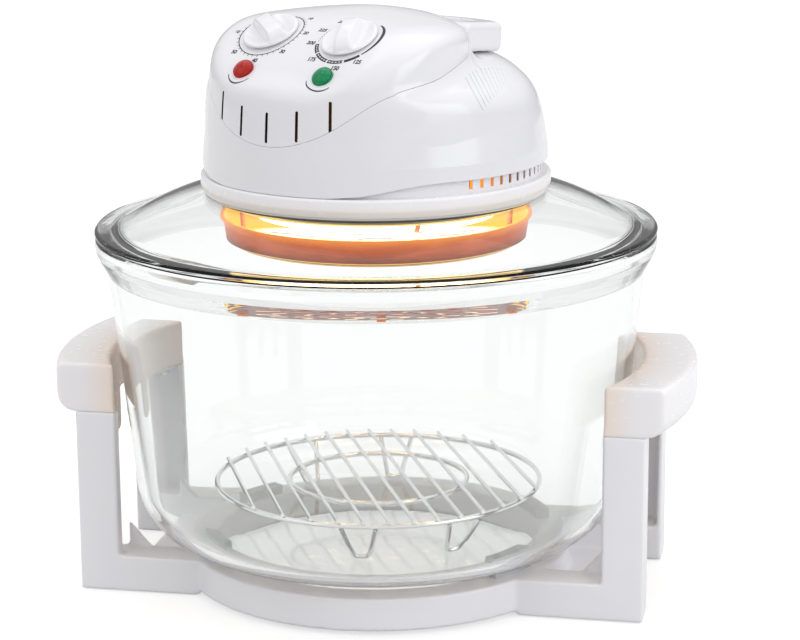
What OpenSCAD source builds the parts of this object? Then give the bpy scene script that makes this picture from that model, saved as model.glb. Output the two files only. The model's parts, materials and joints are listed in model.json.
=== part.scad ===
// Halogen oven: a glass bowl in a moulded stand, with a lift-off glass lid that
// carries the heater, the fan, the controls and the folding carry handle.
// Z = 0 is the table, the origin is under the middle of the bowl, and the two grips
// of the stand lie along X. All sizes are in millimetres.

/* [Stand] */
// Distance between the front faces and the rear faces of the posts
stand_depth = 135; // [124:1:146]
// How far the outer side of a post stands outside the bowl's rim
post_overhang = 2; // [0:0.5:5]
// Width and depth of a post
post_size = 24; // [20:1:26]
// Depth of the inner lip of a post
post_lip = 8; // [6:1:12]
// Wall of the posts, beams and grips
stand_wall = 3; // [2:0.5:4]
// Height of the beams and of the ring
beam_h = 22; // [18:1:30]
// Depth of a beam, front to rear
beam_depth = 24; // [20:1:28]
// How far the ring reaches outside the flat of the bowl's floor
ring_margin = 8.5; // [6:0.5:12]
// Width of the ring
ring_width = 18; // [14:1:22]
// How far the ring stands above the table
ring_lift = 2.5; // [1:0.5:5]
// How far inside the ring's outer side the gap under the beams ends
notch_inset = 20.5; // [8:0.5:30]
// Height of the low web between the ring and the post line
web_h = 6; // [4:1:12]
// Height of the corner gusset over the beam
gusset_h = 16; // [8:1:24]
// Height at which the grips start
grip_z = 110; // [90:1:120]
// Height of a grip
grip_h = 29; // [24:1:36]
// How far a grip reaches outside the bowl's rim
grip_overhang = 25; // [20:1:32]
// Gap between the bowl wall and a grip
grip_clearance = 6; // [4:0.5:10]
// Thickness of the pads that carry the bowl
rest_t = 6; // [4:0.5:9]
// Radius of a rubber foot
foot_r = 8; // [5:0.5:9]
// How far a foot stands out below the beams
foot_drop = 0.6; // [0.3:0.1:2]
// Thread radius of the screws that hold the grips
grip_screw_r = 2; // [1.5:0.25:2.5]

/* [Bowl] */
// Outer radius of the glass rim
rim_r = 165; // [160:1:170]
// Height of the bowl
bowl_h = 183; // [165:1:210]
// Thickness of the glass
glass_t = 5; // [4:0.5:6]
// Corner radius between the floor and the wall
bowl_corner_r = 38; // [30:1:48]
// How far the wall stands inside the rim at its top
bead_step = 7; // [5:0.5:9]
// How much the wall leans in from its top to the corner
wall_lean = 13; // [8:1:18]
// Width of the rolled rim
bead_width = 12; // [9:0.5:14]
// Height of the rolled rim
bead_h = 20; // [14:1:26]

/* [Lid] */
// Turn of the lid and head on the bowl, seen from above
lid_turn = -25; // [-180:1:180]
// Height of the lid's rolled rim
lid_bead_h = 4.4; // [3:0.2:7]
// Rise of the lid from the bowl's rim to its flat land
lid_rise = 24.2; // [20:0.2:34]
// Radius of the hole in the lid
lid_hole_r = 86; // [84:0.5:88]
// Outer radius of the flat land under the bezel
lid_land_r = 101; // [99:0.5:104]
// Depth of the locating lip inside the bowl
lid_lip_h = 3; // [2:0.5:6]
// Thickness of the silicone gaskets
gasket_t = 1; // [0.6:0.1:2]

/* [Bezel] */
// Outer radius of the bezel ring
bezel_r = 102.5; // [102:0.5:106]
// Height of the bezel ring
bezel_h = 10.5; // [9:0.5:14]
// Wall of the bezel ring
bezel_wall = 2.5; // [2:0.5:3.5]
// Inner radius of the bezel ledge
ledge_r = 74; // [70:1:78]
// Height of the vent collar
collar_h = 14.5; // [12:0.5:18]
// Width of a vent slot
vent_w = 2.4; // [1.5:0.1:3]
// Angle between vent slots
vent_step = 4.5; // [4:0.5:9]

/* [Head] */
// Radius of the housing at its foot
head_r = 101.5; // [101:0.5:103]
// Height of the housing over the bezel
head_h = 96.5; // [92:0.5:104]
// Height of the shoulder over the bezel
shoulder_h = 75; // [70:0.5:80]
// Wall of the housing and of the control panel
head_wall = 2.5; // [2:0.25:3]
// Radius of the rolled control panel, front to rear
panel_r = 104; // [101:0.5:108]
// Height of the panel's lower edge over the bezel
panel_edge_h = 26.5; // [20:0.5:30]
// Where the panel ends behind the middle of the knobs
panel_back = 56; // [50:1:58]
// Half width of the spine between the handle arms
spine_half = 43.5; // [41:0.5:45]
// Rise of the housing's lower edge at its sides and rear
skirt_rise = 8; // [5:0.5:10]
// Width of the slots in the nose
nose_slot_w = 1.8; // [1.2:0.1:3]
// Height of the slots in the nose
nose_slot_h = 17; // [12:0.5:18]

/* [Controls] */
// Distance of each knob from the middle
knob_x = 28; // [26:0.5:31]
// Distance of the knobs in front of the axis
knob_y = 60; // [56:0.5:62]
// Radius of a knob
knob_r = 16.5; // [14:0.5:18]
// Height of a knob's round base
knob_base_h = 3; // [2.5:0.5:6]
// Height of a knob's grip bar
knob_bar_h = 4; // [3:0.5:8]
// Radius of a control shaft
control_shaft_r = 3; // [2.5:0.25:3.5]
// Width of a timer or thermostat body
control_body_w = 42; // [34:1:46]
// Depth of a timer or thermostat body
control_body_h = 24; // [18:1:26]
// Distance of the lenses in front of the axis
lens_y = 84.6; // [82:0.2:87]
// Distance of each lens from the middle
lens_x = 28; // [24:0.5:31]
// Radius of a lens
lens_r = 6.2; // [5:0.2:7.5]

/* [Heater] */
// Depth of the reflector dish
dish_depth = 15; // [13:0.5:18]
// Radius of the reflector dish
dish_r = 84; // [82:0.5:85]
// Radius of the halogen lamp's ring
lamp_ring_r = 66; // [63:0.5:68]
// Radius of the lamp tube
lamp_tube_r = 5; // [4:0.5:6]
// Height of the lamp's middle under the dish plate
lamp_drop = 17; // [14:0.5:20]
// Outer radius of the guard's rim
guard_r = 91; // [89:0.5:93]
// Depth of the guard pan
guard_depth = 16.5; // [12:0.5:20]
// Drop from the dish plate to the guard's rim
guard_drop = 23; // [21:0.5:27]
// How much the guard tapers from its rim to its floor
guard_taper = 3; // [2:0.5:12]
// Sheet thickness of the heater parts
sheet_t = 1; // [0.6:0.1:1.4]
// Radius at which the guard's posts stand
guard_post_ring_r = 78; // [76:0.5:79]
// Radius of a guard post
guard_post_r = 1.6; // [1.2:0.1:2]

/* [Fan] */
// Radius of the motor shaft
shaft_r = 3; // [2.5:0.25:4]
// Radius of the hot air fan
hot_fan_r = 50; // [42:1:54]
// Radius of the cooling fan
cool_fan_r = 44; // [38:1:47]
// Height of the blades of both fans
blade_h = 9; // [7:0.5:11]
// Height of the motor's lamination stack
stack_h = 16; // [12:1:20]
// Radius of the rotor
rotor_r = 12; // [10:0.5:14]

/* [Handle] */
// Outer half width of the handle arms
handle_half = 58; // [56:0.5:60]
// Width of a handle arm
arm_w = 14; // [12:0.5:14]
// Half the height of a handle arm
arm_half_h = 8.7; // [7.5:0.1:9]
// Outer radius of the handle bow
bow_r = 73.5; // [72:0.5:76]
// Distance of the handle pivot behind the axis
pivot_y = 18; // [16:0.5:20]
// Radius of a handle pin
pin_r = 3; // [2.5:0.25:3.5]
// Travel of the safety switch
switch_travel = 2.5; // [1.5:0.1:3]

/* [Rack] */
// Radius of the rack's outer ring
rack_r = 97; // [90:1:100]
// Height of the rack's ring over its feet
rack_h = 26; // [20:1:40]
// Radius of the thick rack wire
rack_wire_r = 1.6; // [1.2:0.1:2.2]
// Distance between the rack's cross wires
rack_pitch = 14; // [10:1:20]
// Turn of the rack in the bowl
rack_turn = 23.5; // [-180:0.5:180]

/* [Clearances] */
// Gap where one piece rests in or on another
seat_gap = 0.3; // [0.2:0.05:0.5]
// Radial clearance of turning and sliding fits
run_fit = 0.06; // [0.03:0.01:0.1]
// Gap between the panel and the housing
panel_gap = 0.2; // [0.1:0.05:0.4]
// Gap between a knob and the panel
knob_gap = 0.7; // [0.5:0.1:1.2]

/* [Hidden] */
$fn = 72;

white = "whitesmoke";
steel = "silver";

// Heights of the stack, from the table up
rest_top = beam_h + rest_t;
bowl_z = rest_top + seat_gap;
rim_z = bowl_z + bowl_h;
lid_z = rim_z + seat_gap;
land_top = lid_z + lid_rise;
bezel_z = land_top + gasket_t;
head_z = bezel_z + bezel_h;
flange_top = land_top - glass_t - gasket_t;
dish_top = flange_top - sheet_t + dish_depth + sheet_t;
guard_top = dish_top - sheet_t - guard_drop;
guard_floor = guard_top - guard_depth;
plate_top = head_z + 1.2;
post_y = stand_depth / 2;

// Bowl outline
wall_top_r = rim_r - bead_step;
wall_foot_r = wall_top_r - wall_lean;
wall_foot_h = bowl_corner_r;
wall_top_h = bowl_h - bead_h;
floor_r = wall_foot_r - bowl_corner_r;

// The stand follows the bowl
ring_r = floor_r + ring_margin;
post_reach = rim_r + post_overhang;
grip_r = rim_r + grip_overhang;
notch_reach = ring_r - notch_inset;

function arc_points(cx, cy, r, a0, a1, n) =
  [for (i = [0:n]) let (a = a0 + (a1 - a0) * i / n) [cx + r * cos(a), cy + r * sin(a)]];

function bowl_r_at(h) =
  wall_foot_r + (wall_top_r - wall_foot_r) * (h - wall_foot_h) / (wall_top_h - wall_foot_h);

function bead_outer(r, top, h) =
  [[r - bead_step, top - h], [r - 4.4, top - h * 0.78], [r - 2.3, top - h * 0.58],
   [r - 0.6, top - h * 0.38], [r, top - h * 0.24], [r, top - 1.8], [r - 1.2, top]];

grip_in_r = bowl_r_at(grip_z + grip_h - bowl_z) + grip_clearance - 0.6;
post_in = post_reach - post_size;

module ring(r1, r0, h) {
  difference() {
    cylinder(r = r1, h = h, $fn = 144);
    translate([0, 0, -1]) cylinder(r = r0, h = h + 2, $fn = 144);
  }
}

module rod(a, b, r) {
  d = b - a;
  translate(a) rotate([0, acos(d[2] / norm(d)), atan2(d[1], d[0])]) cylinder(r = r, h = norm(d), $fn = 24);
}

module four_corners() {
  for (sx = [-1, 1], sy = [-1, 1]) scale_sides(sx, sy) children();
}

module scale_sides(sx, sy) {
  mirror([sx < 0 ? 1 : 0, 0, 0]) mirror([0, sy < 0 ? 1 : 0, 0]) children();
}

module head_frame() {
  rotate([0, 0, lid_turn]) translate([0, 0, head_z]) children();
}

module lid_frame() {
  rotate([0, 0, lid_turn]) children();
}

// Stand: ring, beams, webs, posts and the plates that close the posts
grip_screw_x = post_reach - post_size / 2;
grip_screw_y = post_y - post_size / 2;

module beam_solid() {
  translate([0, post_y - beam_depth, foot_drop]) cube([post_reach, beam_depth, beam_h - foot_drop]);
}

module base_frame() {
  color(white) difference() {
    union() {
      translate([0, 0, ring_lift]) ring(ring_r, ring_r - ring_width, beam_h - ring_lift);
      difference() {
        four_corners() beam_solid();
        translate([0, 0, -1]) cylinder(r = ring_r - 0.5, h = beam_h + 2, $fn = 144);
      }
      difference() {
        translate([-post_in, -post_y + beam_depth - 1, web_h - stand_wall])
          cube([2 * post_in, 2 * (post_y - beam_depth + 1), stand_wall]);
        translate([0, 0, -1]) cylinder(r = ring_r - 0.5, h = beam_h + 2, $fn = 144);
      }
      four_corners() post();
      four_corners() gusset();
    }
    translate([-notch_reach, -post_y - 1, -1]) cube([2 * notch_reach, 2 * post_y + 2, ring_lift + 1]);
    four_corners() beam_pocket();
    four_corners() translate([grip_screw_x, grip_screw_y, grip_z - stand_wall - 1])
      cylinder(r = grip_screw_r + 0.2, h = stand_wall + 2, $fn = 32);
    four_corners() translate([foot_x, foot_y, -1]) cylinder(r = foot_r + run_fit, h = foot_seat + 1, $fn = 48);
  }
}

// The beams are hollow from below between the notch and the foot boss
foot_x = grip_screw_x;
foot_y = grip_screw_y;
foot_seat = 3;
module beam_pocket() {
  pocket_x0 = notch_reach + 2 * stand_wall;
  pocket_x1 = foot_x - foot_r - stand_wall;
  translate([pocket_x0, post_y - beam_depth + stand_wall, -1])
    cube([pocket_x1 - pocket_x0, beam_depth - 2 * stand_wall, beam_h - stand_wall + 1]);
}

module post() {
  translate([0, 0, beam_h - 0.5]) {
    h = grip_z - beam_h + 0.5;
    translate([post_in, post_y - stand_wall, 0]) cube([post_size, stand_wall, h]);
    translate([post_reach - stand_wall, post_y - post_size, 0]) cube([stand_wall, post_size, h]);
    translate([post_in, post_y - post_lip, 0]) cube([stand_wall, post_lip, h]);
  }
  translate([0, 0, grip_z - stand_wall]) linear_extrude(stand_wall) difference() {
    translate([post_in, post_y - post_size]) square(post_size);
    circle(r = grip_in_r + stand_wall, $fn = 144);
  }
}

module gusset() {
  translate([post_in + 0.5, post_y - beam_depth + stand_wall, beam_h - 0.5]) rotate([90, 0, 0])
    linear_extrude(stand_wall) polygon([[0, 0], [-gusset_h * 0.9, 0], [0, gusset_h]]);
}

// A grip is a crescent cap, hollow from below, on the front and the rear post
module crescent(outer, inner, half_y) {
  intersection() {
    difference() {
      circle(r = outer, $fn = 180);
      circle(r = inner, $fn = 180);
    }
    translate([post_in, -half_y]) square([outer, 2 * half_y]);
  }
}

grip_fillet = 10;
module grip() {
  difference() {
    union() {
      intersection() {
        translate([0, 0, grip_z]) linear_extrude(grip_h) crescent(grip_r, grip_in_r, post_y);
        rotate_extrude($fn = 180) polygon(concat(
          [[0, grip_z], [grip_r - grip_fillet, grip_z]],
          arc_points(grip_r - grip_fillet, grip_z + grip_fillet, grip_fillet, -75, 0, 5),
          arc_points(grip_r - 3, grip_z + grip_h - 3, 3, 0, 90, 3),
          [[0, grip_z + grip_h]]));
      }
      for (sy = [-1, 1]) translate([grip_in_r * cos(5.5) + stand_wall / 2, sy * grip_in_r * sin(5.5), grip_z + 1])
        rotate([0, 0, sy * 5.5]) bowl_stop();
    }
    difference() {
      translate([0, 0, grip_z - 1]) linear_extrude(grip_h - stand_wall + 1)
        crescent(grip_r - grip_fillet, grip_in_r + stand_wall, post_y - stand_wall);
      for (sy = [-1, 1]) translate([grip_screw_x, sy * grip_screw_y, grip_z]) cylinder(r = 6, h = grip_h, $fn = 48);
    }
    for (sy = [-1, 1]) translate([grip_screw_x, sy * grip_screw_y, grip_z - 1])
      cylinder(r = grip_screw_r + run_fit, h = grip_screw_len, $fn = 32);
  }
}

// Rounded tab that hangs from the inner wall beside the bowl
module bowl_stop() {
  drop = 20;
  w = 12;
  translate([-stand_wall / 2, 0, 0]) rotate([0, 90, 0]) linear_extrude(stand_wall) union() {
    translate([0, -w / 2]) square([drop, w]);
    translate([drop, 0]) circle(d = w, $fn = 32);
  }
}

module right_grip() { color(white) grip(); }
module left_grip() { color(white) mirror([1, 0, 0]) grip(); }

grip_screw_len = 16;
module grip_screws() {
  color(steel) four_corners() translate([grip_screw_x, grip_screw_y, grip_z - stand_wall]) {
    cylinder(r = grip_screw_r, h = grip_screw_len, $fn = 32);
    translate([0, 0, -2.4]) difference() {
      cylinder(r = grip_screw_r * 1.9, h = 2.4, $fn = 32);
      translate([-0.5, -3, -0.1]) cube([1, 6, 1.1]);
    }
  }
}

rest_angle = 59;
rest_sweep = 17;
module bowl_rests() {
  color("gainsboro") four_corners()
    rotate([0, 0, 90 - rest_angle - rest_sweep / 2]) translate([0, 0, beam_h])
      rotate_extrude(angle = rest_sweep, $fn = 144)
        translate([ring_r - ring_width + 1, 0]) square([floor_r - (ring_r - ring_width) - 1, rest_t]);
}

module feet() {
  color("dimgray") four_corners() translate([foot_x, foot_y, 0]) cylinder(r = foot_r, h = foot_seat, $fn = 48);
}

// Bowl
module glass_bowl() {
  inner_corner = bowl_corner_r - glass_t;
  color("lightcyan") translate([0, 0, bowl_z]) rotate_extrude($fn = 180) polygon(concat(
    [[0, 0]],
    arc_points(floor_r, bowl_corner_r, bowl_corner_r, -90, -4, 10),
    [[wall_foot_r, wall_foot_h]],
    bead_outer(rim_r, bowl_h, bead_h),
    [[rim_r - bead_width + 1.5, bowl_h], [rim_r - bead_width, bowl_h - 1.5],
     [rim_r - bead_width, bowl_h - bead_h * 0.6], [wall_top_r - glass_t, wall_top_h],
     [wall_foot_r - glass_t, wall_foot_h]],
    arc_points(floor_r, bowl_corner_r, inner_corner, -4, -90, 10),
    [[0, glass_t]]));
}

// Rack
rack_z = bowl_z + glass_t + seat_gap;
rack_top = rack_z + rack_h;
leg_spread = 18.5;
foot_ring_r = rack_r - 13;

module torus(r, tube) {
  rotate_extrude($fn = 144) translate([r, 0]) circle(r = tube, $fn = 24);
}

module rack_frame() {
  rotate([0, 0, rack_turn - 90]) children();
}

module rack_rings() {
  color(steel) translate([0, 0, rack_top]) {
    torus(rack_r, rack_wire_r);
    torus(rack_r * 0.55, rack_wire_r);
  }
}

cross_r = rack_wire_r * 0.75;
module rack_wires() {
  rows = floor((rack_r - 6) / rack_pitch);
  color(steel) rack_frame() translate([0, 0, rack_top + rack_wire_r + cross_r + 0.02])
    for (i = [-rows:rows]) let (y = i * rack_pitch, half = sqrt(pow(rack_r + 2, 2) - y * y))
      translate([-half, y, 0]) rotate([0, 90, 0]) cylinder(r = cross_r, h = 2 * half, $fn = 24);
}

// A leg is one wire: down from the ring, along the foot and up again
module rack_leg() {
  wire = rack_wire_r * 0.9;
  top = rack_top - rack_wire_r - 0.35;
  foot = rack_z + wire + 0.15;
  a = 5.8;
  b = 2.8;
  p = [[rack_r * cos(a), rack_r * sin(a), top], [foot_ring_r * cos(b), foot_ring_r * sin(b), foot],
       [foot_ring_r * cos(b), -foot_ring_r * sin(b), foot], [rack_r * cos(a), -rack_r * sin(a), top]];
  for (i = [0:2]) rod(p[i], p[i + 1], wire);
  for (i = [1:2]) translate(p[i]) sphere(r = wire + 0.15, $fn = 24);
}

module rack_legs() {
  color(steel) rack_frame()
    for (side = [0, 180], s = [-1, 1]) rotate([0, 0, side + s * leg_spread]) rack_leg();
}

// Lid
module glass_lid() {
  top_in = rim_r - bead_width;
  rise = lid_rise - lid_bead_h;
  steps = 8;
  outer = [for (i = [0:steps]) let (u = i / steps, r = top_in + (lid_land_r - top_in) * u)
    [r, lid_bead_h + rise * sin(90 * u * 0.92) / sin(82.8)]];
  inner = [for (i = [steps:-1:0]) let (u = i / steps, r = top_in - 5 + (lid_land_r - 2 - top_in + 5) * u)
    [r, (rise + lid_bead_h - glass_t) * sin(90 * u * 0.92) / sin(82.8)]];
  color("lightcyan") translate([0, 0, lid_z]) rotate_extrude($fn = 180) polygon(concat(
    [[lid_hole_r, lid_rise - glass_t], [lid_hole_r, lid_rise]],
    [for (i = [steps:-1:0]) outer[i]],
    [[rim_r - bead_width + 2.4, lid_bead_h], [rim_r - 3, lid_bead_h], [rim_r - 1, lid_bead_h - 1],
     [rim_r, lid_bead_h - 2.4], [rim_r, 1.2], [rim_r - 1.2, 0],
     [top_in - 0.8, 0], [top_in - 0.8, -lid_lip_h], [top_in - 5, -lid_lip_h]],
    [for (i = [steps:-1:0]) inner[i]]));
}

module upper_gasket() {
  color("white") translate([0, 0, land_top]) ring(lid_land_r - 0.5, lid_hole_r, gasket_t);
}

module lower_gasket() {
  color("white") translate([0, 0, flange_top]) ring(dish_flange_r - 1, lid_hole_r, gasket_t);
}

// Bezel ring: a channel with a ledge that the dish hangs from
inner_skirt_r = lid_hole_r + 1.5;
screw_ring_r = (inner_skirt_r + bezel_r - bezel_wall) / 2 - 2.7;
module bezel_ring() {
  top = bezel_h - bezel_wall;
  color(white) translate([0, 0, bezel_z]) lid_frame() difference() {
    rotate_extrude($fn = 180) polygon([
      [lid_hole_r, 0], [inner_skirt_r, 0], [inner_skirt_r, top], [bezel_r - bezel_wall, top],
      [bezel_r - bezel_wall, 0.01], [bezel_r - 2, 0], [bezel_r, 4], [bezel_r, bezel_h - 1],
      [bezel_r - 0.8, bezel_h], [ledge_r, bezel_h], [ledge_r, top], [lid_hole_r, top]]);
    for (a = [45:90:315]) rotate([0, 0, a]) translate([screw_ring_r, 0, top - 1])
      cylinder(r = house_screw_r + 0.2, h = bezel_wall + 2, $fn = 32);
  }
}

// Vent collar between the bezel and the housing, slotted around the rear
wall_draft = 0.9;
collar_out = head_r - wall_draft - head_wall - 2 * seat_gap;
collar_in = collar_out - 2.8;
vent_from = 69.5;
module vent_collar() {
  color(white) head_frame() difference() {
    ring(collar_out, collar_in, collar_h);
    translate([0, 0, 2]) linear_extrude(collar_h - 5)
      for (a = [vent_from:vent_step:360 - vent_from]) rotate([0, 0, a - 90])
        translate([collar_in - 2, -vent_w / 2]) square([8, vent_w]);
  }
}

// Head shapes. Each takes an inset, so the cavity and the seats follow the skin.
edge_r = 37;
edge_ring_r = 61.5;
edge_ring_h = 53.7;
rear_edge_r = 44.5;
rear_ring_r = 54;
rear_ring_h = 24.7;
cheek_r = 95;
cheek_h = 54.5;
cheek_edge = 13;
cheek_shift = 9;
cheek_tilt = 5;

// A dome whose wall rolls over a round edge into a shallow cone
module round_dome(inset, ring_r, ring_h, edge, wall_h, top) {
  rotate_extrude($fn = 180) polygon(concat(
    [[0, 0], [head_r - inset, 0], [head_r - wall_draft - inset, wall_h]],
    arc_points(ring_r, ring_h, edge - inset, 2, 84, 10),
    [[0, top - inset]]));
}

module shoulder(inset) {
  round_dome(inset, rear_ring_r, rear_ring_h, rear_edge_r, 13, shoulder_h);
}

module front_dome(inset) {
  round_dome(inset, edge_ring_r, edge_ring_h, edge_r, 30, head_h + 1.5);
}

// The cheek keeps the front and the sides full up to the valley below the panel, and sinks
// into the shoulder towards the rear
module cheek(inset) {
  intersection() {
    front_dome(inset);
    translate([0, -cheek_shift, 0]) rotate([-cheek_tilt, 0, 0]) rotate_extrude($fn = 180) polygon(concat(
      [[0, -30], [cheek_r - inset, -30]],
      arc_points(cheek_r - cheek_edge, cheek_h - cheek_edge, cheek_edge - inset, 0, 85, 5),
      [[0, cheek_h + 1 - inset]]));
  }
}

// The panel is rolled about a line across the head; behind it the spine falls away to the rear
panel_mid_y = -10;
panel_mid_z = head_h - panel_r;
spine_ball_r = 170;
module panel_roll(inset) {
  rotate([90, 0, 90]) linear_extrude(2.2 * head_r, center = true) polygon(concat(
    [[panel_mid_y - panel_r + inset, -1], [head_r, -1], [head_r, head_h - inset]],
    arc_points(panel_mid_y, panel_mid_z, panel_r - inset, 90, 180, 18)));
}

module spine_ball(inset) {
  translate([0, -40, head_h + 6.8 - spine_ball_r]) rotate_extrude($fn = 180) polygon(concat(
    [[0, 60], [spine_ball_r * cos(50), 60]], arc_points(0, 0, spine_ball_r - inset, 50, 90, 12)));
}

// Plan of the tongue that carries the panel and the spine
step_y = pivot_y - arm_half_h - 1.5;
tongue_r = 75;
tongue_y = -34;
spine_end = 42;
spine_gap = 2;
module tongue_plan(inset) {
  difference() {
    translate([0, tongue_y]) circle(r = tongue_r - inset, $fn = 180);
    translate([-head_r, step_y - inset]) square([2 * head_r, head_r]);
  }
  translate([-spine_half + inset, tongue_y]) square([2 * (spine_half - inset), -tongue_y]);
  intersection() {
    translate([-spine_half + inset, -1]) square([2 * (spine_half - inset), spine_end + 1 - inset]);
    circle(r = bow_r - arm_w - spine_gap - inset, $fn = 180);
  }
}

module tongue(inset) {
  intersection() {
    front_dome(inset);
    panel_roll(inset);
    spine_ball(inset);
    translate([0, 0, -1]) linear_extrude(head_h + 2) tongue_plan(inset);
  }
}

module head_solid(inset) {
  shoulder(inset);
  cheek(inset);
  tongue(inset);
}

// The zone that the control panel fills: over its curved lower edge and in front of its rear edge
panel_rear_y = panel_back - knob_y;
edge_sweep_r = 75;
edge_cap = 31;
module panel_zone(g) {
  intersection() {
    translate([0, panel_rear_y + g, 0]) rotate([90, 0, 0]) linear_extrude(head_r + 20) {
      translate([0, panel_edge_h + edge_sweep_r]) circle(r = edge_sweep_r + g, $fn = 180);
      translate([-head_r - 9, panel_edge_h + edge_cap - g]) square([2 * head_r + 18, head_h]);
    }
    translate([0, 0, -1]) linear_extrude(head_h + 20) tongue_plan(-g);
  }
}

// Stands children on the panel: x to the side, y towards the rear, Z along the outward normal
module on_panel(x, y) {
  translate([x, panel_mid_y, panel_mid_z]) rotate([asin((panel_mid_y - y) / panel_r), 0, 0])
    translate([0, 0, panel_r]) children();
}

bush_r = control_shaft_r + 2.5;
lens_bore = lens_r - 1.2;
module panel_holes() {
  for (s = [-1, 1]) {
    on_panel(s * knob_x, -knob_y) translate([0, 0, -12]) cylinder(r = bush_r + run_fit, h = 24, $fn = 48);
    on_panel(s * lens_x, -lens_y) translate([0, 0, -12]) cylinder(r = lens_bore + run_fit, h = 24, $fn = 48);
  }
}

slot_angle = 11.3;
slot_lift = [2, 4, 10];
module nose_slots() {
  for (i = [-2:2]) rotate([0, 0, i * slot_angle])
    translate([-nose_slot_w / 2, -head_r - 2, panel_edge_h + slot_lift[abs(i)]])
      cube([nose_slot_w, 12, nose_slot_h]);
}

module control_panel() {
  color(white) head_frame() difference() {
    intersection() {
      tongue(0);
      panel_zone(0);
    }
    tongue(head_wall);
    panel_holes();
    nose_slots();
  }
}

house_screw_r = 1.75;
boss_r = 3.4;
boss_top = 38;
pivot_h = head_h - 18;
gland_h = 26;
gland_bore_r = 6.5;
module main_housing() {
  color(white) head_frame() difference() {
    union() {
      difference() {
        head_solid(0);
        head_solid(head_wall);
        translate([0, 0, -1]) cylinder(r = head_r - head_wall, h = 3, $fn = 120);
      }
      intersection() {
        head_solid(1);
        for (a = [45:90:315]) rotate([0, 0, a]) {
          translate([screw_ring_r, 0, 0]) cylinder(r = boss_r, h = boss_top, $fn = 48);
          translate([screw_ring_r, -1, collar_h + 1]) cube([20, 2, boss_top - collar_h - 1]);
        }
      }
      intersection() {
        head_solid(0);
        handle_socket(arm_in - head_wall, arm_half_h + 3);
      }
    }
    handle_socket(arm_in - 0.4, arm_half_h + 0.6);
    panel_zone(panel_gap);
    skirt_cut();
    for (a = [45:90:315]) rotate([0, 0, a]) translate([screw_ring_r, 0, -1])
      cylinder(r = house_screw_r + run_fit, h = house_screw_len + 1, $fn = 32);
    translate([0, pivot_y, pivot_h]) rotate([0, 90, 0])
      cylinder(r = pin_r + run_fit, h = 2 * spine_half + 4, center = true, $fn = 48);
    translate([0, head_r - 12, gland_h]) rotate([-90, 0, 0]) cylinder(r = gland_bore_r + run_fit, h = 20, $fn = 48);
  }
}

// Round pockets in the shoulder that the front ends of the handle arms turn in
module handle_socket(from_x, r) {
  for (s = [-1, 1]) translate([s * (from_x + 10), pivot_y, pivot_h]) rotate([0, 90, 0])
    cylinder(r = r, h = 20, center = true, $fn = 72);
}

// The lower edge of the housing rises from the nose to the sides and rear
module skirt_cut() {
  far = head_r + 9;
  rotate([90, 0, 90]) linear_extrude(2 * far, center = true)
    polygon([[-far, -5], [far, -5], [far, skirt_rise], [-0.493 * head_r, skirt_rise],
             [-0.611 * head_r, skirt_rise * 0.92], [-0.719 * head_r, skirt_rise * 0.68],
             [-0.847 * head_r, skirt_rise * 0.22], [-0.936 * head_r, 0.3], [-far, 0.3]]);
}

house_screw_len = 13;
module housing_screws() {
  color(steel) lid_frame() for (a = [45:90:315]) rotate([0, 0, a])
    translate([screw_ring_r, 0, bezel_z + bezel_h - bezel_wall]) {
      cylinder(r = house_screw_r, h = house_screw_len, $fn = 32);
      translate([0, 0, -2]) difference() {
        cylinder(r = 3.2, h = 2, $fn = 32);
        translate([-0.5, -3, -0.1]) cube([1, 6, 1]);
      }
    }
}

// Strain relief bush in the rear wall, for a 7 mm lead
module cord_gland() {
  color("gainsboro") head_frame() translate([0, head_r - 12, gland_h]) rotate([-90, 0, 0]) difference() {
    union() {
      cylinder(r = gland_bore_r, h = 15, $fn = 48);
      translate([0, 0, 12.6]) cylinder(r = gland_bore_r + 2.5, h = 3, $fn = 48);
      cylinder(r = gland_bore_r + 2, h = 3, $fn = 48);
    }
    translate([0, 0, -1]) cylinder(r = 3.6, h = 20, $fn = 48);
  }
}

// Controls
module lens(shade) {
  color(shade) {
    translate([0, 0, 0.15]) cylinder(r = lens_r, h = 1.2, $fn = 48);
    translate([0, 0, 1.34]) intersection() {
      translate([0, 0, 3.4 - lens_r * 1.35]) sphere(r = lens_r * 1.35, $fn = 48);
      cylinder(r = lens_r - 0.4, h = 6, $fn = 48);
    }
    difference() {
      translate([0, 0, -8]) cylinder(r = lens_bore, h = 8.5, $fn = 48);
      translate([0, 0, -9]) cylinder(r = bulb_r + run_fit, h = 8, $fn = 32);
    }
  }
}

bulb_r = 3;
bulb_drop = 13;
bulb_len = 11.5;
module power_lens() { head_frame() on_panel(-lens_x, -lens_y) lens("firebrick"); }
module heat_lens() { head_frame() on_panel(lens_x, -lens_y) lens("seagreen"); }
module indicator_bulbs() {
  color("lightyellow") head_frame() for (s = [-1, 1]) on_panel(s * lens_x, -lens_y) {
    translate([0, 0, -bulb_drop]) cylinder(r = bulb_r, h = bulb_len, $fn = 32);
  }
}

// Body of a control: a case under the panel with a threaded bush through it. Its flat top lies
// deep enough for the panel's roll to pass over its edges.
case_drop = 3.4;
module control_case(w, deep) {
  difference() {
    union() {
      translate([-w / 2, -w * 0.42, -head_wall - case_drop - deep]) cube([w, w * 0.84, deep]);
      translate([0, 0, -head_wall - case_drop - 0.2])
        cylinder(r = bush_r, h = head_wall + case_drop + 0.2, $fn = 48);
    }
    translate([0, 0, -deep]) cylinder(r = control_shaft_r + run_fit, h = deep + 9, $fn = 48);
  }
}

module control_shaft() {
  translate([0, 0, -control_body_h + 2]) cylinder(r = control_shaft_r, h = control_body_h - 2 + knob_base_h, $fn = 48);
}

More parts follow.
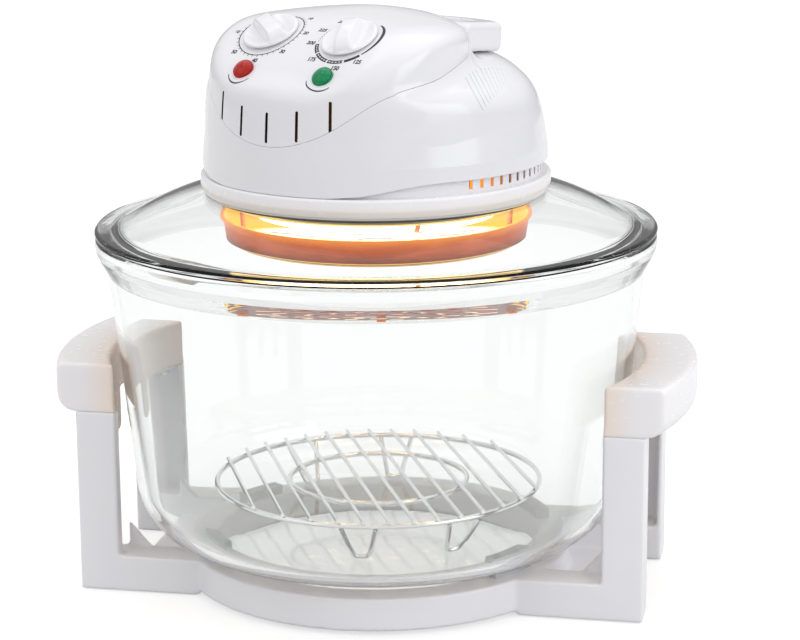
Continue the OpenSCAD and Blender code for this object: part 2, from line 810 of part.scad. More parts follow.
// Knob: a low round base with an arched grip bar across it
bar_w = 9;
module knob(turn) {
  reach = knob_r - 1.5;
  arch_r = (knob_bar_h * knob_bar_h + reach * reach) / (2 * knob_bar_h);
  difference() {
    translate([0, 0, knob_gap]) union() {
      rotate_extrude($fn = 96) polygon([
        [0, 0], [knob_r, 0], [knob_r, 1], [knob_r - 2, knob_base_h - 0.6],
        [knob_r - 4, knob_base_h], [0, knob_base_h]]);
      rotate([0, 0, turn]) intersection() {
        translate([-bar_w / 2, -reach, 1]) cube([bar_w, 2 * reach, knob_base_h + knob_bar_h]);
        translate([0, 0, knob_base_h + knob_bar_h - arch_r]) rotate([0, 90, 0])
          cylinder(r = arch_r, h = 2 * bar_w, center = true, $fn = 180);
      }
    }
    translate([0, 0, -1]) cylinder(r = control_shaft_r, h = knob_base_h + 1, $fn = 48);
  }
}

timer_setting = -30;
thermostat_setting = 15;
module timer_body() { color("tan") head_frame() on_panel(-knob_x, -knob_y) control_case(control_body_w, control_body_h); }
module timer_shaft() { color(steel) head_frame() on_panel(-knob_x, -knob_y) control_shaft(); }
module timer_knob() { color("white") head_frame() on_panel(-knob_x, -knob_y) knob(timer_setting); }
module thermostat_body() {
  color("peru") head_frame() on_panel(knob_x, -knob_y) control_case(control_body_w * 0.9, control_body_h * 0.8);
}
module thermostat_shaft() {
  color(steel) head_frame() on_panel(knob_x, -knob_y) translate([0, 0, 0.2 * control_body_h - 1])
    translate([0, 0, -control_body_h + 3]) cylinder(r = control_shaft_r, h = 0.8 * control_body_h - 2 + knob_base_h, $fn = 48);
}
module thermostat_knob() { color("white") head_frame() on_panel(knob_x, -knob_y) knob(thermostat_setting); }

// Motor: a plate on the bezel, four posts, a shaded pole stack and two bearing brackets
plate_r = screw_ring_r - boss_r - 1.2;
motor_post_x = 34;
motor_post_y = 40;
bracket_z = 18;
stack_z = bracket_z + 9;
bearing_r = 6;
lamination = [58, 52];
coil_y = 20;
module motor_frame() {
  rotate([0, 0, lid_turn]) translate([0, 0, plate_top]) children();
}

module at_motor_posts() {
  for (sx = [-1, 1], sy = [-1, 1]) translate([sx * motor_post_x, sy * motor_post_y, 0]) children();
}

module motor_plate() {
  color(steel) head_frame() difference() {
    cylinder(r = plate_r, h = plate_top - head_z, $fn = 120);
    translate([0, 0, -1]) cylinder(r = shaft_r + 4, h = 5, $fn = 48);
    for (a = [0:30:330]) rotate([0, 0, a]) translate([27, 0, -1]) cylinder(r = 4, h = 5, $fn = 32);
  }
}

module motor_posts() {
  color(steel) motor_frame() at_motor_posts() cylinder(r = 3, h = bracket_z, $fn = 32);
}

module bearing_plate(len_y, thick) {
  difference() {
    union() {
      for (sy = [-1, 1]) translate([-motor_post_x - 5, sy * motor_post_y - 6, 0]) cube([2 * motor_post_x + 10, 12, thick]);
      translate([-8, -len_y, 0]) cube([16, 2 * len_y, thick]);
      cylinder(r = bearing_r + 4, h = thick + 3, $fn = 48);
    }
    translate([0, 0, -1]) cylinder(r = shaft_r + run_fit, h = thick + 9, $fn = 48);
  }
}

module lower_bearing_bracket() {
  color("darkgray") motor_frame() translate([0, 0, bracket_z]) bearing_plate(motor_post_y, 2);
}

module motor_stator() {
  color("slategray") motor_frame() translate([0, 0, stack_z]) difference() {
    translate([-lamination[0] / 2, -lamination[1] / 2, 0]) cube([lamination[0], lamination[1], stack_h]);
    translate([0, 0, -1]) cylinder(r = rotor_r + 0.5, h = stack_h + 2, $fn = 72);
    translate([-15, 15, -1]) cube([30, 5.5, stack_h + 2]);
    for (sx = [-1, 1], sy = [-1, 1]) translate([sx * (lamination[0] / 2 - 5), sy * (lamination[1] / 2 - 5), -1])
      cylinder(r = 2 + run_fit, h = stack_h + 2, $fn = 32);
  }
}

// The coil wraps the rear limb of the stack
module motor_coil() {
  color("chocolate") motor_frame() translate([0, 0, stack_z]) difference() {
    translate([-14.5, 15.3, -4]) cube([29, 14.2, stack_h + 8]);
    translate([-20, 20.5 - seat_gap, -seat_gap]) cube([40, lamination[1] / 2 - 20.5 + 2 * seat_gap, stack_h + 2 * seat_gap]);
  }
}

module upper_bearing_bracket() {
  h = stack_z + stack_h;
  color("darkgray") motor_frame() {
    difference() {
      union() {
        translate([-lamination[0] / 2, -lamination[1] / 2, h]) cube([lamination[0], 8, 2]);
        translate([-8, -lamination[1] / 2, h]) cube([16, lamination[1] / 2 + 8, 2]);
        translate([0, 0, h]) cylinder(r = bearing_r + 4, h = 6, $fn = 48);
      }
      translate([0, 0, h - 1]) cylinder(r = shaft_r + run_fit, h = 12, $fn = 48);
      translate([0, 0, h - 1]) cylinder(r = bearing_r, h = 2.2, $fn = 48);
    }
    for (sx = [-1, 1]) translate([sx * (lamination[0] / 2 - 5), -lamination[1] / 2 + 5, bracket_z + 2])
      cylinder(r = 2, h = stack_z - bracket_z - 2 + stack_h + 4, $fn = 32);
  }
}

shaft_top = stack_z + stack_h + 8;
shaft_foot = lamp_drop + 6;
fan_z = -sheet_t - 4 - blade_h;
module motor_rotor() {
  color("gray") motor_frame() translate([0, 0, stack_z - 1]) difference() {
    cylinder(r = rotor_r, h = stack_h + 0.7, $fn = 72);
    translate([0, 0, -1]) cylinder(r = shaft_r, h = stack_h + 5, $fn = 48);
  }
}

module motor_shaft() {
  foot = dish_top - shaft_foot - 3;
  color(steel) lid_frame() translate([0, 0, foot]) cylinder(r = shaft_r, h = plate_top + shaft_top - foot, $fn = 48);
}

module fan(radius, blades, hub_r, lean) {
  difference() {
    union() {
      cylinder(r = hub_r, h = blade_h, $fn = 48);
      cylinder(r = radius * 0.62, h = 1, $fn = 72);
      for (i = [0:blades - 1]) rotate([0, 0, 360 * i / blades])
        translate([hub_r - 1, -0.5, 0]) rotate([lean, 0, 0]) cube([radius - hub_r + 0.5, 1, blade_h / cos(lean) - 0.4]);
    }
    translate([0, 0, -1]) cylinder(r = shaft_r, h = blade_h + 2, $fn = 48);
  }
}

fan_lean = 25;
fan_hub_r = 8;
module cooling_fan() {
  color("white") motor_frame() translate([0, 0, 3]) fan(cool_fan_r, 9, fan_hub_r, fan_lean);
}

module hot_air_fan() {
  color(steel) lid_frame() translate([0, 0, dish_top + fan_z]) fan(hot_fan_r, 8, fan_hub_r, 0);
}

module fan_nut() {
  color(steel) lid_frame() translate([0, 0, dish_top + fan_z - 4.5]) difference() {
    cylinder(r = 6.5, h = 4.5, $fn = 6);
    translate([0, 0, -1]) cylinder(r = shaft_r, h = 7, $fn = 48);
  }
}

// Heater: insulation, reflector dish, lamp and guard
dish_flange_r = lid_hole_r + 6;
dish_z = dish_top - sheet_t;
module insulation_disc() {
  color("wheat") lid_frame() translate([0, 0, dish_top]) difference() {
    cylinder(r = ledge_r - seat_gap, h = bezel_wall - seat_gap, $fn = 120);
    translate([0, 0, -1]) cylinder(r = shaft_r + 3, h = 9, $fn = 48);
  }
}

module reflector_dish() {
  color(steel) lid_frame() difference() {
    union() {
      translate([0, 0, dish_z]) cylinder(r = dish_r, h = sheet_t, $fn = 144);
      translate([0, 0, flange_top - sheet_t]) ring(dish_r, dish_r - sheet_t, dish_depth);
      translate([0, 0, flange_top - sheet_t]) ring(dish_flange_r, dish_r - sheet_t, sheet_t);
    }
    translate([0, 0, dish_z - 1]) cylinder(r = shaft_r + 3, h = 9, $fn = 48);
    at_guard_posts() translate([0, 0, dish_z - 1]) cylinder(r = guard_post_r + run_fit, h = 9, $fn = 24);
  }
}

lamp_z = dish_z - lamp_drop;
lamp_gap_angle = 26;
module lamp_frame() {
  lid_frame() translate([0, 0, lamp_z]) rotate([0, 0, 90 + lamp_gap_angle / 2]) children();
}

lamp_bore_r = lamp_tube_r - 1;
lamp_sweep = 360 - lamp_gap_angle;
module halogen_lamp() {
  color("lightyellow") lamp_frame() rotate_extrude(angle = lamp_sweep, $fn = 144)
    translate([lamp_ring_r, 0]) difference() {
      circle(r = lamp_tube_r, $fn = 32);
      circle(r = lamp_bore_r, $fn = 32);
    }
}

module lamp_filament() {
  color("gold") lamp_frame() union() {
    rotate_extrude(angle = lamp_sweep, $fn = 144) translate([lamp_ring_r, 0]) circle(r = 0.9, $fn = 16);
    for (a = [18:(lamp_sweep - 36) / 8:lamp_sweep - 17]) rotate([0, 0, a]) translate([lamp_ring_r, 0, 0])
      rotate([90, 0, 0]) cylinder(r = lamp_bore_r - 0.05, h = 0.7, center = true, $fn = 24);
  }
}

// Ceramic caps on the two ends of the lamp
cap_len = 9;
module lamp_caps() {
  color("ivory") lamp_frame() for (end = [0, 1]) rotate([0, 0, end * lamp_sweep])
    translate([lamp_ring_r - lamp_tube_r - 1.5, end == 0 ? -cap_len : 0, -lamp_tube_r - 1.5])
      cube([2 * lamp_tube_r + 3, cap_len, 2 * lamp_tube_r + 3]);
}

// Steel straps from the dish plate to the caps and to the front of the lamp
module lamp_brackets() {
  strap_h = lamp_drop - lamp_tube_r - 1.5;
  color(steel) {
    lamp_frame() for (end = [0, 1]) rotate([0, 0, end * lamp_sweep])
      translate([lamp_ring_r - 4, (end == 0 ? -cap_len / 2 : cap_len / 2) - 2.5, lamp_tube_r + 1.5])
        cube([8, 5, strap_h]);
    lamp_frame() for (a = [lamp_sweep / 3, lamp_sweep * 2 / 3]) rotate([0, 0, a]) {
      translate([lamp_ring_r - 4, -1.5, lamp_tube_r + 1]) cube([8, 3, lamp_drop - lamp_tube_r - 1]);
      translate([lamp_ring_r, 0, 0]) rotate([90, 0, 0]) difference() {
        cylinder(r = lamp_tube_r + 1.2, h = 3, center = true, $fn = 48);
        cylinder(r = lamp_tube_r + 0.02, h = 5, center = true, $fn = 48);
        translate([-10, -lamp_tube_r - 9, -5]) cube([20, 9, 10]);
      }
    }
  }
}

guard_angles = [-55 - 90, 125 - 90, 215 - 90];
module at_guard_posts() {
  for (a = guard_angles) rotate([0, 0, a]) translate([guard_post_ring_r, 0, 0]) children();
}

module heater_guard() {
  floor_out = guard_r - guard_taper;
  color(steel) lid_frame() difference() {
    rotate_extrude($fn = 144) polygon([
      [0, guard_floor], [floor_out - 4, guard_floor], [floor_out, guard_floor + 2.5],
      [guard_r - 1.6, guard_top - 1.5], [guard_r, guard_top - 1.5], [guard_r, guard_top],
      [guard_r - 1.6 - sheet_t, guard_top], [floor_out - sheet_t, guard_floor + 3],
      [floor_out - 4.4, guard_floor + sheet_t], [0, guard_floor + sheet_t]]);
    translate([0, 0, guard_floor - 1]) linear_extrude(sheet_t + 2) guard_slots();
    at_guard_posts() translate([0, 0, guard_floor - 1]) cylinder(r = guard_post_r + run_fit, h = 5, $fn = 24);
  }
}

// Three rings of curved slots in the guard's floor
module guard_slots() {
  for (row = [[20, 34, 6], [38, 52, 10], [56, 70, 14]])
    for (i = [0:row[2] - 1]) rotate([0, 0, 360 * (i + 0.5) / row[2]])
      translate([row[0], -5]) square([row[1] - row[0], 10]);
  circle(r = 12, $fn = 48);
}

module guard_posts() {
  color(steel) lid_frame() at_guard_posts() translate([0, 0, guard_floor - 2.5])
    cylinder(r = guard_post_r, h = dish_top - guard_floor + 2.5, $fn = 24);
}

module guard_nuts() {
  color(steel) lid_frame() at_guard_posts() translate([0, 0, guard_floor - 2.6]) difference() {
    cylinder(r = 3.2, h = 2.6, $fn = 6);
    translate([0, 0, -1]) cylinder(r = guard_post_r, h = 5, $fn = 24);
  }
}

// Electrical parts on the motor plate
module thermal_cutout() {
  color("black") motor_frame() translate([62, 36, 0]) {
    cylinder(r = 8, h = 6, $fn = 48);
    for (s = [-1, 1]) translate([s * 4 - 0.4, -3, 5.5]) cube([0.8, 6, 8]);
  }
}

module terminal_block() {
  color("ivory") motor_frame() translate([-72, 30, 0]) {
    difference() {
      cube([14, 30, 12]);
      for (i = [0:2]) translate([7, 5 + 10 * i, 5]) cylinder(r = 2, h = 9, $fn = 24);
    }
  }
}

// Safety switch: the folded handle holds the plunger down through the cam on its pin
switch_x = 33;
cam_w = 5;
cam_drop = 8;
cam_gap = 0.6;
plunger_r = 1.5;
switch_top = pivot_h - cam_drop - switch_travel - 1.5;
module safety_switch() {
  color("black") head_frame() difference() {
    union() {
      translate([switch_x - 5, pivot_y - 10, switch_top - 14]) cube([10, 20, 14]);
      translate([switch_x + 5 - seat_gap, pivot_y - 4, switch_top - 12]) cube([spine_half - head_wall - switch_x - 5, 8, 10]);
    }
    translate([switch_x, pivot_y, switch_top - 10]) cylinder(r = plunger_r + run_fit, h = 12, $fn = 32);
  }
}

module switch_plunger() {
  color("red") head_frame() translate([switch_x, pivot_y, switch_top - 6])
    cylinder(r = plunger_r, h = pivot_h - cam_drop - cam_gap - switch_top + 6, $fn = 32);
}

// Carry handle: two arms and a bow that lie on the shoulder when it is folded down
arm_in = handle_half - arm_w;
arm_edge = 4;
pin_cover = 3;
handle_tilt = 5;

// Half of a rounded bar section, from the middle out to a half width
module bar_section(half) {
  translate([0, -arm_half_h]) square([half - arm_edge, 2 * arm_half_h]);
  translate([0, -arm_half_h + arm_edge]) square([half, 2 * (arm_half_h - arm_edge)]);
  for (sz = [-1, 1]) translate([half - arm_edge, sz * (arm_half_h - arm_edge)]) circle(r = arm_edge, $fn = 48);
}

module handle_blank() {
  intersection() {
    translate([0, -pivot_y, 0]) rotate_extrude($fn = 180) bar_section(bow_r);
    rotate([90, 0, 0]) linear_extrude(2.4 * bow_r, center = true) {
      bar_section(handle_half);
      mirror([1, 0]) bar_section(handle_half);
    }
    union() {
      translate([-handle_half, 0, -arm_half_h]) cube([2 * handle_half, bow_r, 2 * arm_half_h]);
      rotate([0, 90, 0]) cylinder(r = arm_half_h, h = 2 * handle_half, center = true, $fn = 72);
    }
  }
}

module carry_handle() {
  color(white) head_frame() difference() {
    translate([0, pivot_y, pivot_h]) rotate([-handle_tilt, 0, 0]) difference() {
      handle_blank();
      intersection() {
        translate([0, -pivot_y, -20]) cylinder(r = bow_r - arm_w - 0.5, h = 40, $fn = 120);
        translate([-arm_in, -bow_r, -20]) cube([2 * arm_in, 2 * bow_r, 40]);
      }
      rotate([0, 90, 0]) cylinder(r = pin_r, h = 2 * (handle_half - pin_cover), center = true, $fn = 48);
    }
    shoulder(-1.2);
  }
}

// A pin runs from just inside the cam to the blind end of the arm's bore
pin_from = switch_x - cam_w / 2 - 0.5;
pin_to = handle_half - pin_cover;
module handle_pins() {
  color(steel) head_frame() for (s = [-1, 1]) translate([s * (pin_from + pin_to) / 2, pivot_y, pivot_h])
    rotate([0, 90, 0]) cylinder(r = pin_r, h = pin_to - pin_from, center = true, $fn = 48);
}

// Spiral cam: the plunger follows it up as the handle is raised
fold_angle = 85;
module switch_cam() {
  color("dimgray") head_frame() translate([switch_x - cam_w / 2, pivot_y, pivot_h]) rotate([0, 90, 0]) difference() {
    union() {
      cylinder(r = pin_r + 2, h = cam_w, $fn = 48);
      linear_extrude(cam_w) polygon(concat([[0, 0], [cam_drop - 0.4, 2.5], [cam_drop, 2]],
        [for (i = [0:11]) let (a = i * 9, r = cam_drop - switch_travel * a / fold_angle) [r * cos(a), -r * sin(a)]]));
    }
    translate([0, 0, -1]) cylinder(r = pin_r, h = cam_w + 2, $fn = 48);
  }
}

base_frame();
left_grip();
right_grip();
grip_screws();
bowl_rests();
feet();
glass_bowl();
rack_rings();
rack_wires();
rack_legs();
glass_lid();
upper_gasket();
lower_gasket();
bezel_ring();
vent_collar();
main_housing();
control_panel();
housing_screws();
cord_gland();
power_lens();
heat_lens();
indicator_bulbs();
timer_body();
timer_shaft();
timer_knob();
thermostat_body();
thermostat_shaft();
thermostat_knob();
motor_plate();
motor_posts();
motor_stator();
motor_coil();
lower_bearing_bracket();
upper_bearing_bracket();
motor_rotor();
motor_shaft();
cooling_fan();
hot_air_fan();
fan_nut();
insulation_disc();
reflector_dish();
halogen_lamp();
lamp_filament();
lamp_caps();
lamp_brackets();
heater_guard();
guard_posts();
guard_nuts();
thermal_cutout();
terminal_block();
safety_switch();
switch_plunger();
carry_handle();
handle_pins();
switch_cam();
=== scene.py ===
"""Halogen oven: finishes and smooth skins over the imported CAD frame, in metres."""
import json
import math

import bmesh
import bpy
import numpy as np
from mathutils import Matrix, Vector


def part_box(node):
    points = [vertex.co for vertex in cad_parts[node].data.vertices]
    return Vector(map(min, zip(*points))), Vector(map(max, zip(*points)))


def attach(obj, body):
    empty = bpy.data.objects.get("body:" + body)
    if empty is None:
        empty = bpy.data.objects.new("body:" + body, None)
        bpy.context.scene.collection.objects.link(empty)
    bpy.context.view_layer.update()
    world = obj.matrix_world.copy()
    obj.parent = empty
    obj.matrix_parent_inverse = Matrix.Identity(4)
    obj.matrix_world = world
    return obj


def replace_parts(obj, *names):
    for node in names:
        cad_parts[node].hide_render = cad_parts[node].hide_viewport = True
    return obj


bl_info = {
    "name": "Halogen Oven",
    "version": (1, 0, 0),
    "blender": (4, 5, 0),
    "location": "3D View > Sidebar > Halogen Oven",
    "description": "Builds the skins, glass, printing and finishes of a halogen oven over its CAD frame",
    "category": "Object",
}

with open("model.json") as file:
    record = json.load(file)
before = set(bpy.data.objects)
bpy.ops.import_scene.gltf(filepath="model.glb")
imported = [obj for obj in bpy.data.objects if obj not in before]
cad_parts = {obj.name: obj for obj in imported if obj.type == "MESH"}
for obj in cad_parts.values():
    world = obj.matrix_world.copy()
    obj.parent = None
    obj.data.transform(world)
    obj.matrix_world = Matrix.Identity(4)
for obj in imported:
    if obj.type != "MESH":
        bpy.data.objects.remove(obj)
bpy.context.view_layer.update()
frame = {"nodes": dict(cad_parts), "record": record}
SLOT_OF = {part["node"]: part["material_slot"] for part in frame["record"]["subparts"]}

# Sizes that the CAD source gives, in millimetres in the frame of the head:
# x across, y from the nose to the rear, z up from the bezel's top
LID_TURN = math.radians(-25)
HEAD_Z = 247.3
HEAD_H = 96.5
HEAD_R = 101.5
PANEL_R = 104.0
PANEL_MID = (-10.0, HEAD_H - PANEL_R)
TONGUE = (0.0, -34.0, 75.0)
STEP_Y, SPINE_HALF, SPINE_END, SPINE_R = 7.8, 43.5, 42.0, 57.5
PANEL_EDGE_H, EDGE_SWEEP_R, EDGE_CAP, PANEL_REAR_Y = 26.5, 75.0, 31.0, -4.0
KNOB_X, KNOB_Y, LENS_X, LENS_Y = 28.0, 60.0, 28.0, 84.6
VALLEY, CREASE = 6.0, 6.0            # blend between panel and shoulder, and rounding along the panel's edge
EYE = np.array([0.0, -40.0, 25.0])   # the head's skin is cast from here
KNOB_R, KNOB_RIM, KNOB_GAP = 16.5, 1.5, 0.7
KNOB_COLUMNS = 160
# Heights over the table of the turned pieces' own zero, in millimetres
BOWL_FOOT, LID_FOOT, BEZEL_FOOT, RACK_FOOT = 28.3, 211.6, 236.8, 33.6
# Grooves of the shoulder: upper and lower end of each, and the direction in which they look straight
GROOVES = (((78.3, -20.8, 61.7), (93.3, -25.6, 45.3)), ((77.3, -15.5, 63.0), (93.5, -22.8, 47.1)),
           ((76.3, -11.4, 63.8), (93.3, -19.8, 48.6)), ((75.5, -6.7, 64.2), (93.1, -16.9, 50.0)),
           ((75.0, -1.5, 64.2), (92.7, -13.7, 51.2)), ((75.0, 2.7, 64.0), (92.0, -10.3, 52.4)),
           ((75.0, 6.6, 63.8), (91.1, -6.4, 53.5)), ((75.1, 10.7, 63.4), (89.9, -2.2, 54.5)),
           ((75.4, 14.4, 62.8), (88.5, 2.2, 55.4)), ((75.9, 18.0, 62.1), (86.7, 7.2, 56.3)),
           ((76.7, 20.8, 61.2), (84.8, 12.5, 57.0)), ((77.9, 21.8, 60.2), (82.4, 18.3, 57.7)))
GROOVE_FACING = (0.572, -0.807, 0.144)
# Guard pan, in metres: its floor and rim, and the radius of its wall at the floor
GUARD_Z = tuple(float(corner[2]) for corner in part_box("heater_guard"))
GUARD_R = 0.088
COLLAR_R = float(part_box("vent_collar")[1][0])
# Nodes whose finish isn't the one of their slot, and slots of finishes that no node has
FINISH_OF = {"vent_collar": "collar_plastic", "guard_posts": "post_steel", "guard_nuts": "post_steel",
             "lamp_brackets": "post_steel", "lamp_caps": "lamp_glass"}
# The camera stands where the photograph was taken from
CAMERA_AT = (0.29239, -1.38726, 0.49623)
CAMERA_YAW, CAMERA_PITCH, CAMERA_ROLL = -11.353, -13.507, -0.376
CAMERA_FOCAL = 2451.77 / 800         # focal length over the picture's width
SENSOR = 36
# What gloss and glass see of the studio: grey levels from straight down (0) to straight up (1)
SKY_BANDS = ((0.0, 0.66), (0.40, 0.60), (0.47, 0.48), (0.54, 0.56), (0.62, 0.82), (1.0, 0.95))
MIRRORED_SKY, MIRRORED_FLOOR = 0.8, 0.7


# ---------------------------------------------------------------- settings

class StageSettings(bpy.types.PropertyGroup):
    floor_size: bpy.props.FloatProperty(name="Floor size", description="Side of the square floor", default=9.0,
                                        min=2.0, unit="LENGTH")
    floor_lift: bpy.props.FloatProperty(name="Floor lift", description="Light that the floor adds for the camera",
                                        default=0.62, min=0.0, max=1.0)
    key_power: bpy.props.FloatProperty(name="Key light", description="Power of the large light at the left",
                                       default=3.2, min=0.0, unit="POWER")
    fill_power: bpy.props.FloatProperty(name="Fill light", description="Power of the light at the right",
                                        default=10.0, min=0.0, unit="POWER")
    top_power: bpy.props.FloatProperty(name="Top light", description="Power of the light overhead",
                                       default=6.0, min=0.0, unit="POWER")
    sky_level: bpy.props.FloatProperty(name="Sky level", description="Light from all round", default=0.92, min=0.0,
                                       max=1.0)


class SkinSettings(bpy.types.PropertyGroup):
    wall: bpy.props.FloatProperty(name="Wall", description="Wall of the housing and the panel", default=0.0024,
                                  min=0.001, unit="LENGTH")
    seam: bpy.props.FloatProperty(name="Seam", description="Gap between the panel and the housing",
                                  default=0.0002, min=0.0001, unit="LENGTH")
    columns: bpy.props.IntProperty(name="Columns", description="Facets round the head", default=360, min=120)
    soft_edge: bpy.props.FloatProperty(name="Soft edge", description="Cell size at which moulded edges are rounded",
                                       default=0.0012, min=0.0004, unit="LENGTH")
    groove_width: bpy.props.FloatProperty(name="Groove width", description="Width of a groove in the shoulder",
                                          default=0.0009, min=0.0003, unit="LENGTH")


class FinishSettings(bpy.types.PropertyGroup):
    shell: bpy.props.FloatVectorProperty(name="Shell", description="Colour of the moulded shells", subtype="COLOR",
                                         size=3, default=(0.835, 0.832, 0.865), min=0, max=1)
    ink: bpy.props.FloatVectorProperty(name="Ink", description="Colour of the printed dials", subtype="COLOR",
                                       size=3, default=(0.016, 0.017, 0.022), min=0, max=1)
    red: bpy.props.FloatVectorProperty(name="Red lens", description="Colour of the power lens", subtype="COLOR",
                                       size=3, default=(0.36, 0.010, 0.006), min=0, max=1)
    green: bpy.props.FloatVectorProperty(name="Green lens", description="Colour of the heat lens", subtype="COLOR",
                                         size=3, default=(0.003, 0.20, 0.075), min=0, max=1)
    lamp_glow: bpy.props.FloatProperty(name="Lamp glow", description="Strength of the lit lamp", default=14.0,
                                       min=0.0)


# ---------------------------------------------------------------- shader maths

class Value:
    """A node socket that takes part in Python expressions; each operation adds one Math node."""

    def __init__(self, shader, socket):
        self.shader, self.socket = shader, socket

    def _math(self, operation, a, b=0.0):
        return self.shader.value("ShaderNodeMath", {0: a, 1: b}, operation=operation)

    def __add__(self, other): return self._math("ADD", self, other)
    def __radd__(self, other): return self._math("ADD", other, self)
    def __sub__(self, other): return self._math("SUBTRACT", self, other)
    def __rsub__(self, other): return self._math("SUBTRACT", other, self)
    def __mul__(self, other): return self._math("MULTIPLY", self, other)
    def __rmul__(self, other): return self._math("MULTIPLY", other, self)
    def __truediv__(self, other): return self._math("DIVIDE", self, other)
    def __rtruediv__(self, other): return self._math("DIVIDE", other, self)
    def __pow__(self, other): return self._math("POWER", self, other)

    def fade(self, low, high):
        """0 at low and under, 1 at high and over, smooth between."""
        return self.shader.value("ShaderNodeMapRange", {"Value": self, "From Min": low, "From Max": high},
                                 interpolation_type="SMOOTHSTEP")


class Finish:
    """A material, its Principled shader, and one method that adds any node."""

    def __init__(self, name, **constants):
        self.material = bpy.data.materials.new(name)
        self.material.use_nodes = True
        self.tree = self.material.node_tree
        self.tree.nodes.clear()
        self.shader = self.add("ShaderNodeBsdfPrincipled", {k.replace("_", " "): v for k, v in constants.items()})
        out = self.add("ShaderNodeOutputMaterial")
        self.tree.links.new(self.shader.outputs[0], out.inputs["Surface"])
        self.place = self.value("ShaderNodeTexCoord", out="Object")

    def add(self, kind, sockets=None, stops=None, **settings):
        node = self.tree.nodes.new(kind)
        for name, setting in settings.items():
            setattr(node, name, setting)
        if stops:
            ramp = node.color_ramp.elements
            while len(ramp) < len(stops):
                ramp.new(0.5)
            for element, (at, colour) in zip(ramp, stops):
                element.position, element.color = at, (*colour, 1.0)
        for name, given in (sockets or {}).items():
            self.feed(node.inputs[name], given)
        return node

    def feed(self, socket, given):
        if isinstance(given, Value):
            self.tree.links.new(given.socket, socket)
        elif hasattr(given, "__len__") and len(given) == 3 and len(getattr(socket, "default_value", ())) == 4:
            socket.default_value = (*given, 1.0)
        else:
            socket.default_value = given

    def value(self, kind, sockets=None, out=0, stops=None, **settings):
        return Value(self, self.add(kind, sockets, stops, **settings).outputs[out])

    def set(self, **sockets):
        for name, given in sockets.items():
            self.feed(self.shader.inputs[name.replace("_", " ")], given)
        return self

    def noise(self, size, detail=3.0, rough=0.5, stretch=None):
        """Grey noise whose blotches are about size metres across."""
        place = self.place
        if stretch:
            place = self.value("ShaderNodeMapping", {"Vector": place, "Scale": stretch})
        return self.value("ShaderNodeTexNoise", {"Vector": place, "Scale": 1.0 / size, "Detail": detail,
                                                 "Roughness": rough})

    def mix(self, factor, a, b):
        node = self.add("ShaderNodeMix", data_type="RGBA")
        for socket, given in ((node.inputs[0], factor), (node.inputs[6], a), (node.inputs[7], b)):
            self.feed(socket, given)
        return Value(self, node.outputs[2])

    def bump(self, height, depth, strength=1.0):
        return self.value("ShaderNodeBump", {"Height": height, "Distance": depth, "Strength": strength},
                          out="Normal")

    def axis(self, name):
        return self.value("ShaderNodeSeparateXYZ", {"Vector": self.place}, out=name)

    def reach(self):
        """Distance from the oven's upright axis."""
        return (self.axis("X") ** 2 + self.axis("Y") ** 2) ** 0.5


def shade(colour, by):
    return tuple(min(1.0, c * by) for c in colour)


# ---------------------------------------------------------------- finishes

def moulded(name, colour, rough=0.24, coat=0.35, grain=0.00002, depth=0.04):
    """Moulded plastic: faint flow shading, fine grain, and gloss that varies a little."""
    f = Finish(name, Coat_Roughness=0.06, IOR=1.49)
    flow = f.noise(0.09, 2.0)
    speck = f.noise(0.0006, 2.0)
    f.set(Base_Color=f.mix(flow, shade(colour, 1 - depth), shade(colour, 1 + depth)),
          Roughness=rough + (f.noise(0.004, 4.0) - 0.5) * 0.09,
          Coat_Weight=coat + (flow - 0.5) * 0.1,
          Normal=f.bump(speck, grain, 0.35))
    return f.material


def lit_plastic(name, colour, painted_warm_light, upright, near, far):
    """Moulded plastic with painted lamplight: its colour is painted warm at near and plain at far, by height if
    upright, else by reach.
    """
    f = Finish(name, Coat_Roughness=0.12, IOR=1.49)
    away = (f.axis("Z") if upright else f.reach()).fade(near, far)
    flow = f.noise(0.05, 2.0)
    f.set(Base_Color=f.mix(away * 0.8 + flow * 0.2, painted_warm_light, shade(colour, 1.02)),
          Roughness=0.26 + (f.noise(0.004, 4.0) - 0.5) * 0.09, Coat_Weight=0.3 + (flow - 0.5) * 0.1,
          Normal=f.bump(f.noise(0.003, 2.0), 0.00001, 0.2))
    return f.material


def lit_collar(name, colour):
    """Vent collar: white outside, with painted lamplight in the walls of its slots: a brown colour, and an orange
    glow that fades to the rear.
    """
    f = Finish(name, Coat_Roughness=0.08, IOR=1.49, Emission_Strength=1.3)
    inner = 1 - f.reach().fade(COLLAR_R - 0.0009, COLLAR_R - 0.0004)
    rear = (f.axis("X") * -math.sin(LID_TURN) + f.axis("Y") * math.cos(LID_TURN)).fade(-0.036, 0.002)
    speck = f.noise(0.003, 3.0)
    # Painted lamplight in the slot walls: an orange glow that is dark towards the rear.
    lamp = f.mix(rear * 0.9 + speck * 0.1, (1.0, 0.30, 0.02), (0.022, 0.005, 0.002))
    f.set(Base_Color=f.mix(inner, colour, (0.30, 0.12, 0.06)), Roughness=0.3 + (speck - 0.5) * 0.1,
          Coat_Weight=0.3 + (speck - 0.5) * 0.1, Emission_Color=f.mix(inner, (0.0, 0.0, 0.0), lamp))
    return f.material


def rubber(name, colour):
    """Silicone or rubber with fine pores."""
    f = Finish(name, IOR=1.45)
    pores = f.noise(0.0009, 4.0)
    f.set(Base_Color=f.mix(f.noise(0.02), shade(colour, 0.88), shade(colour, 1.08)),
          Roughness=0.62 + (pores - 0.5) * 0.2, Normal=f.bump(pores, 0.00008, 0.6))
    return f.material


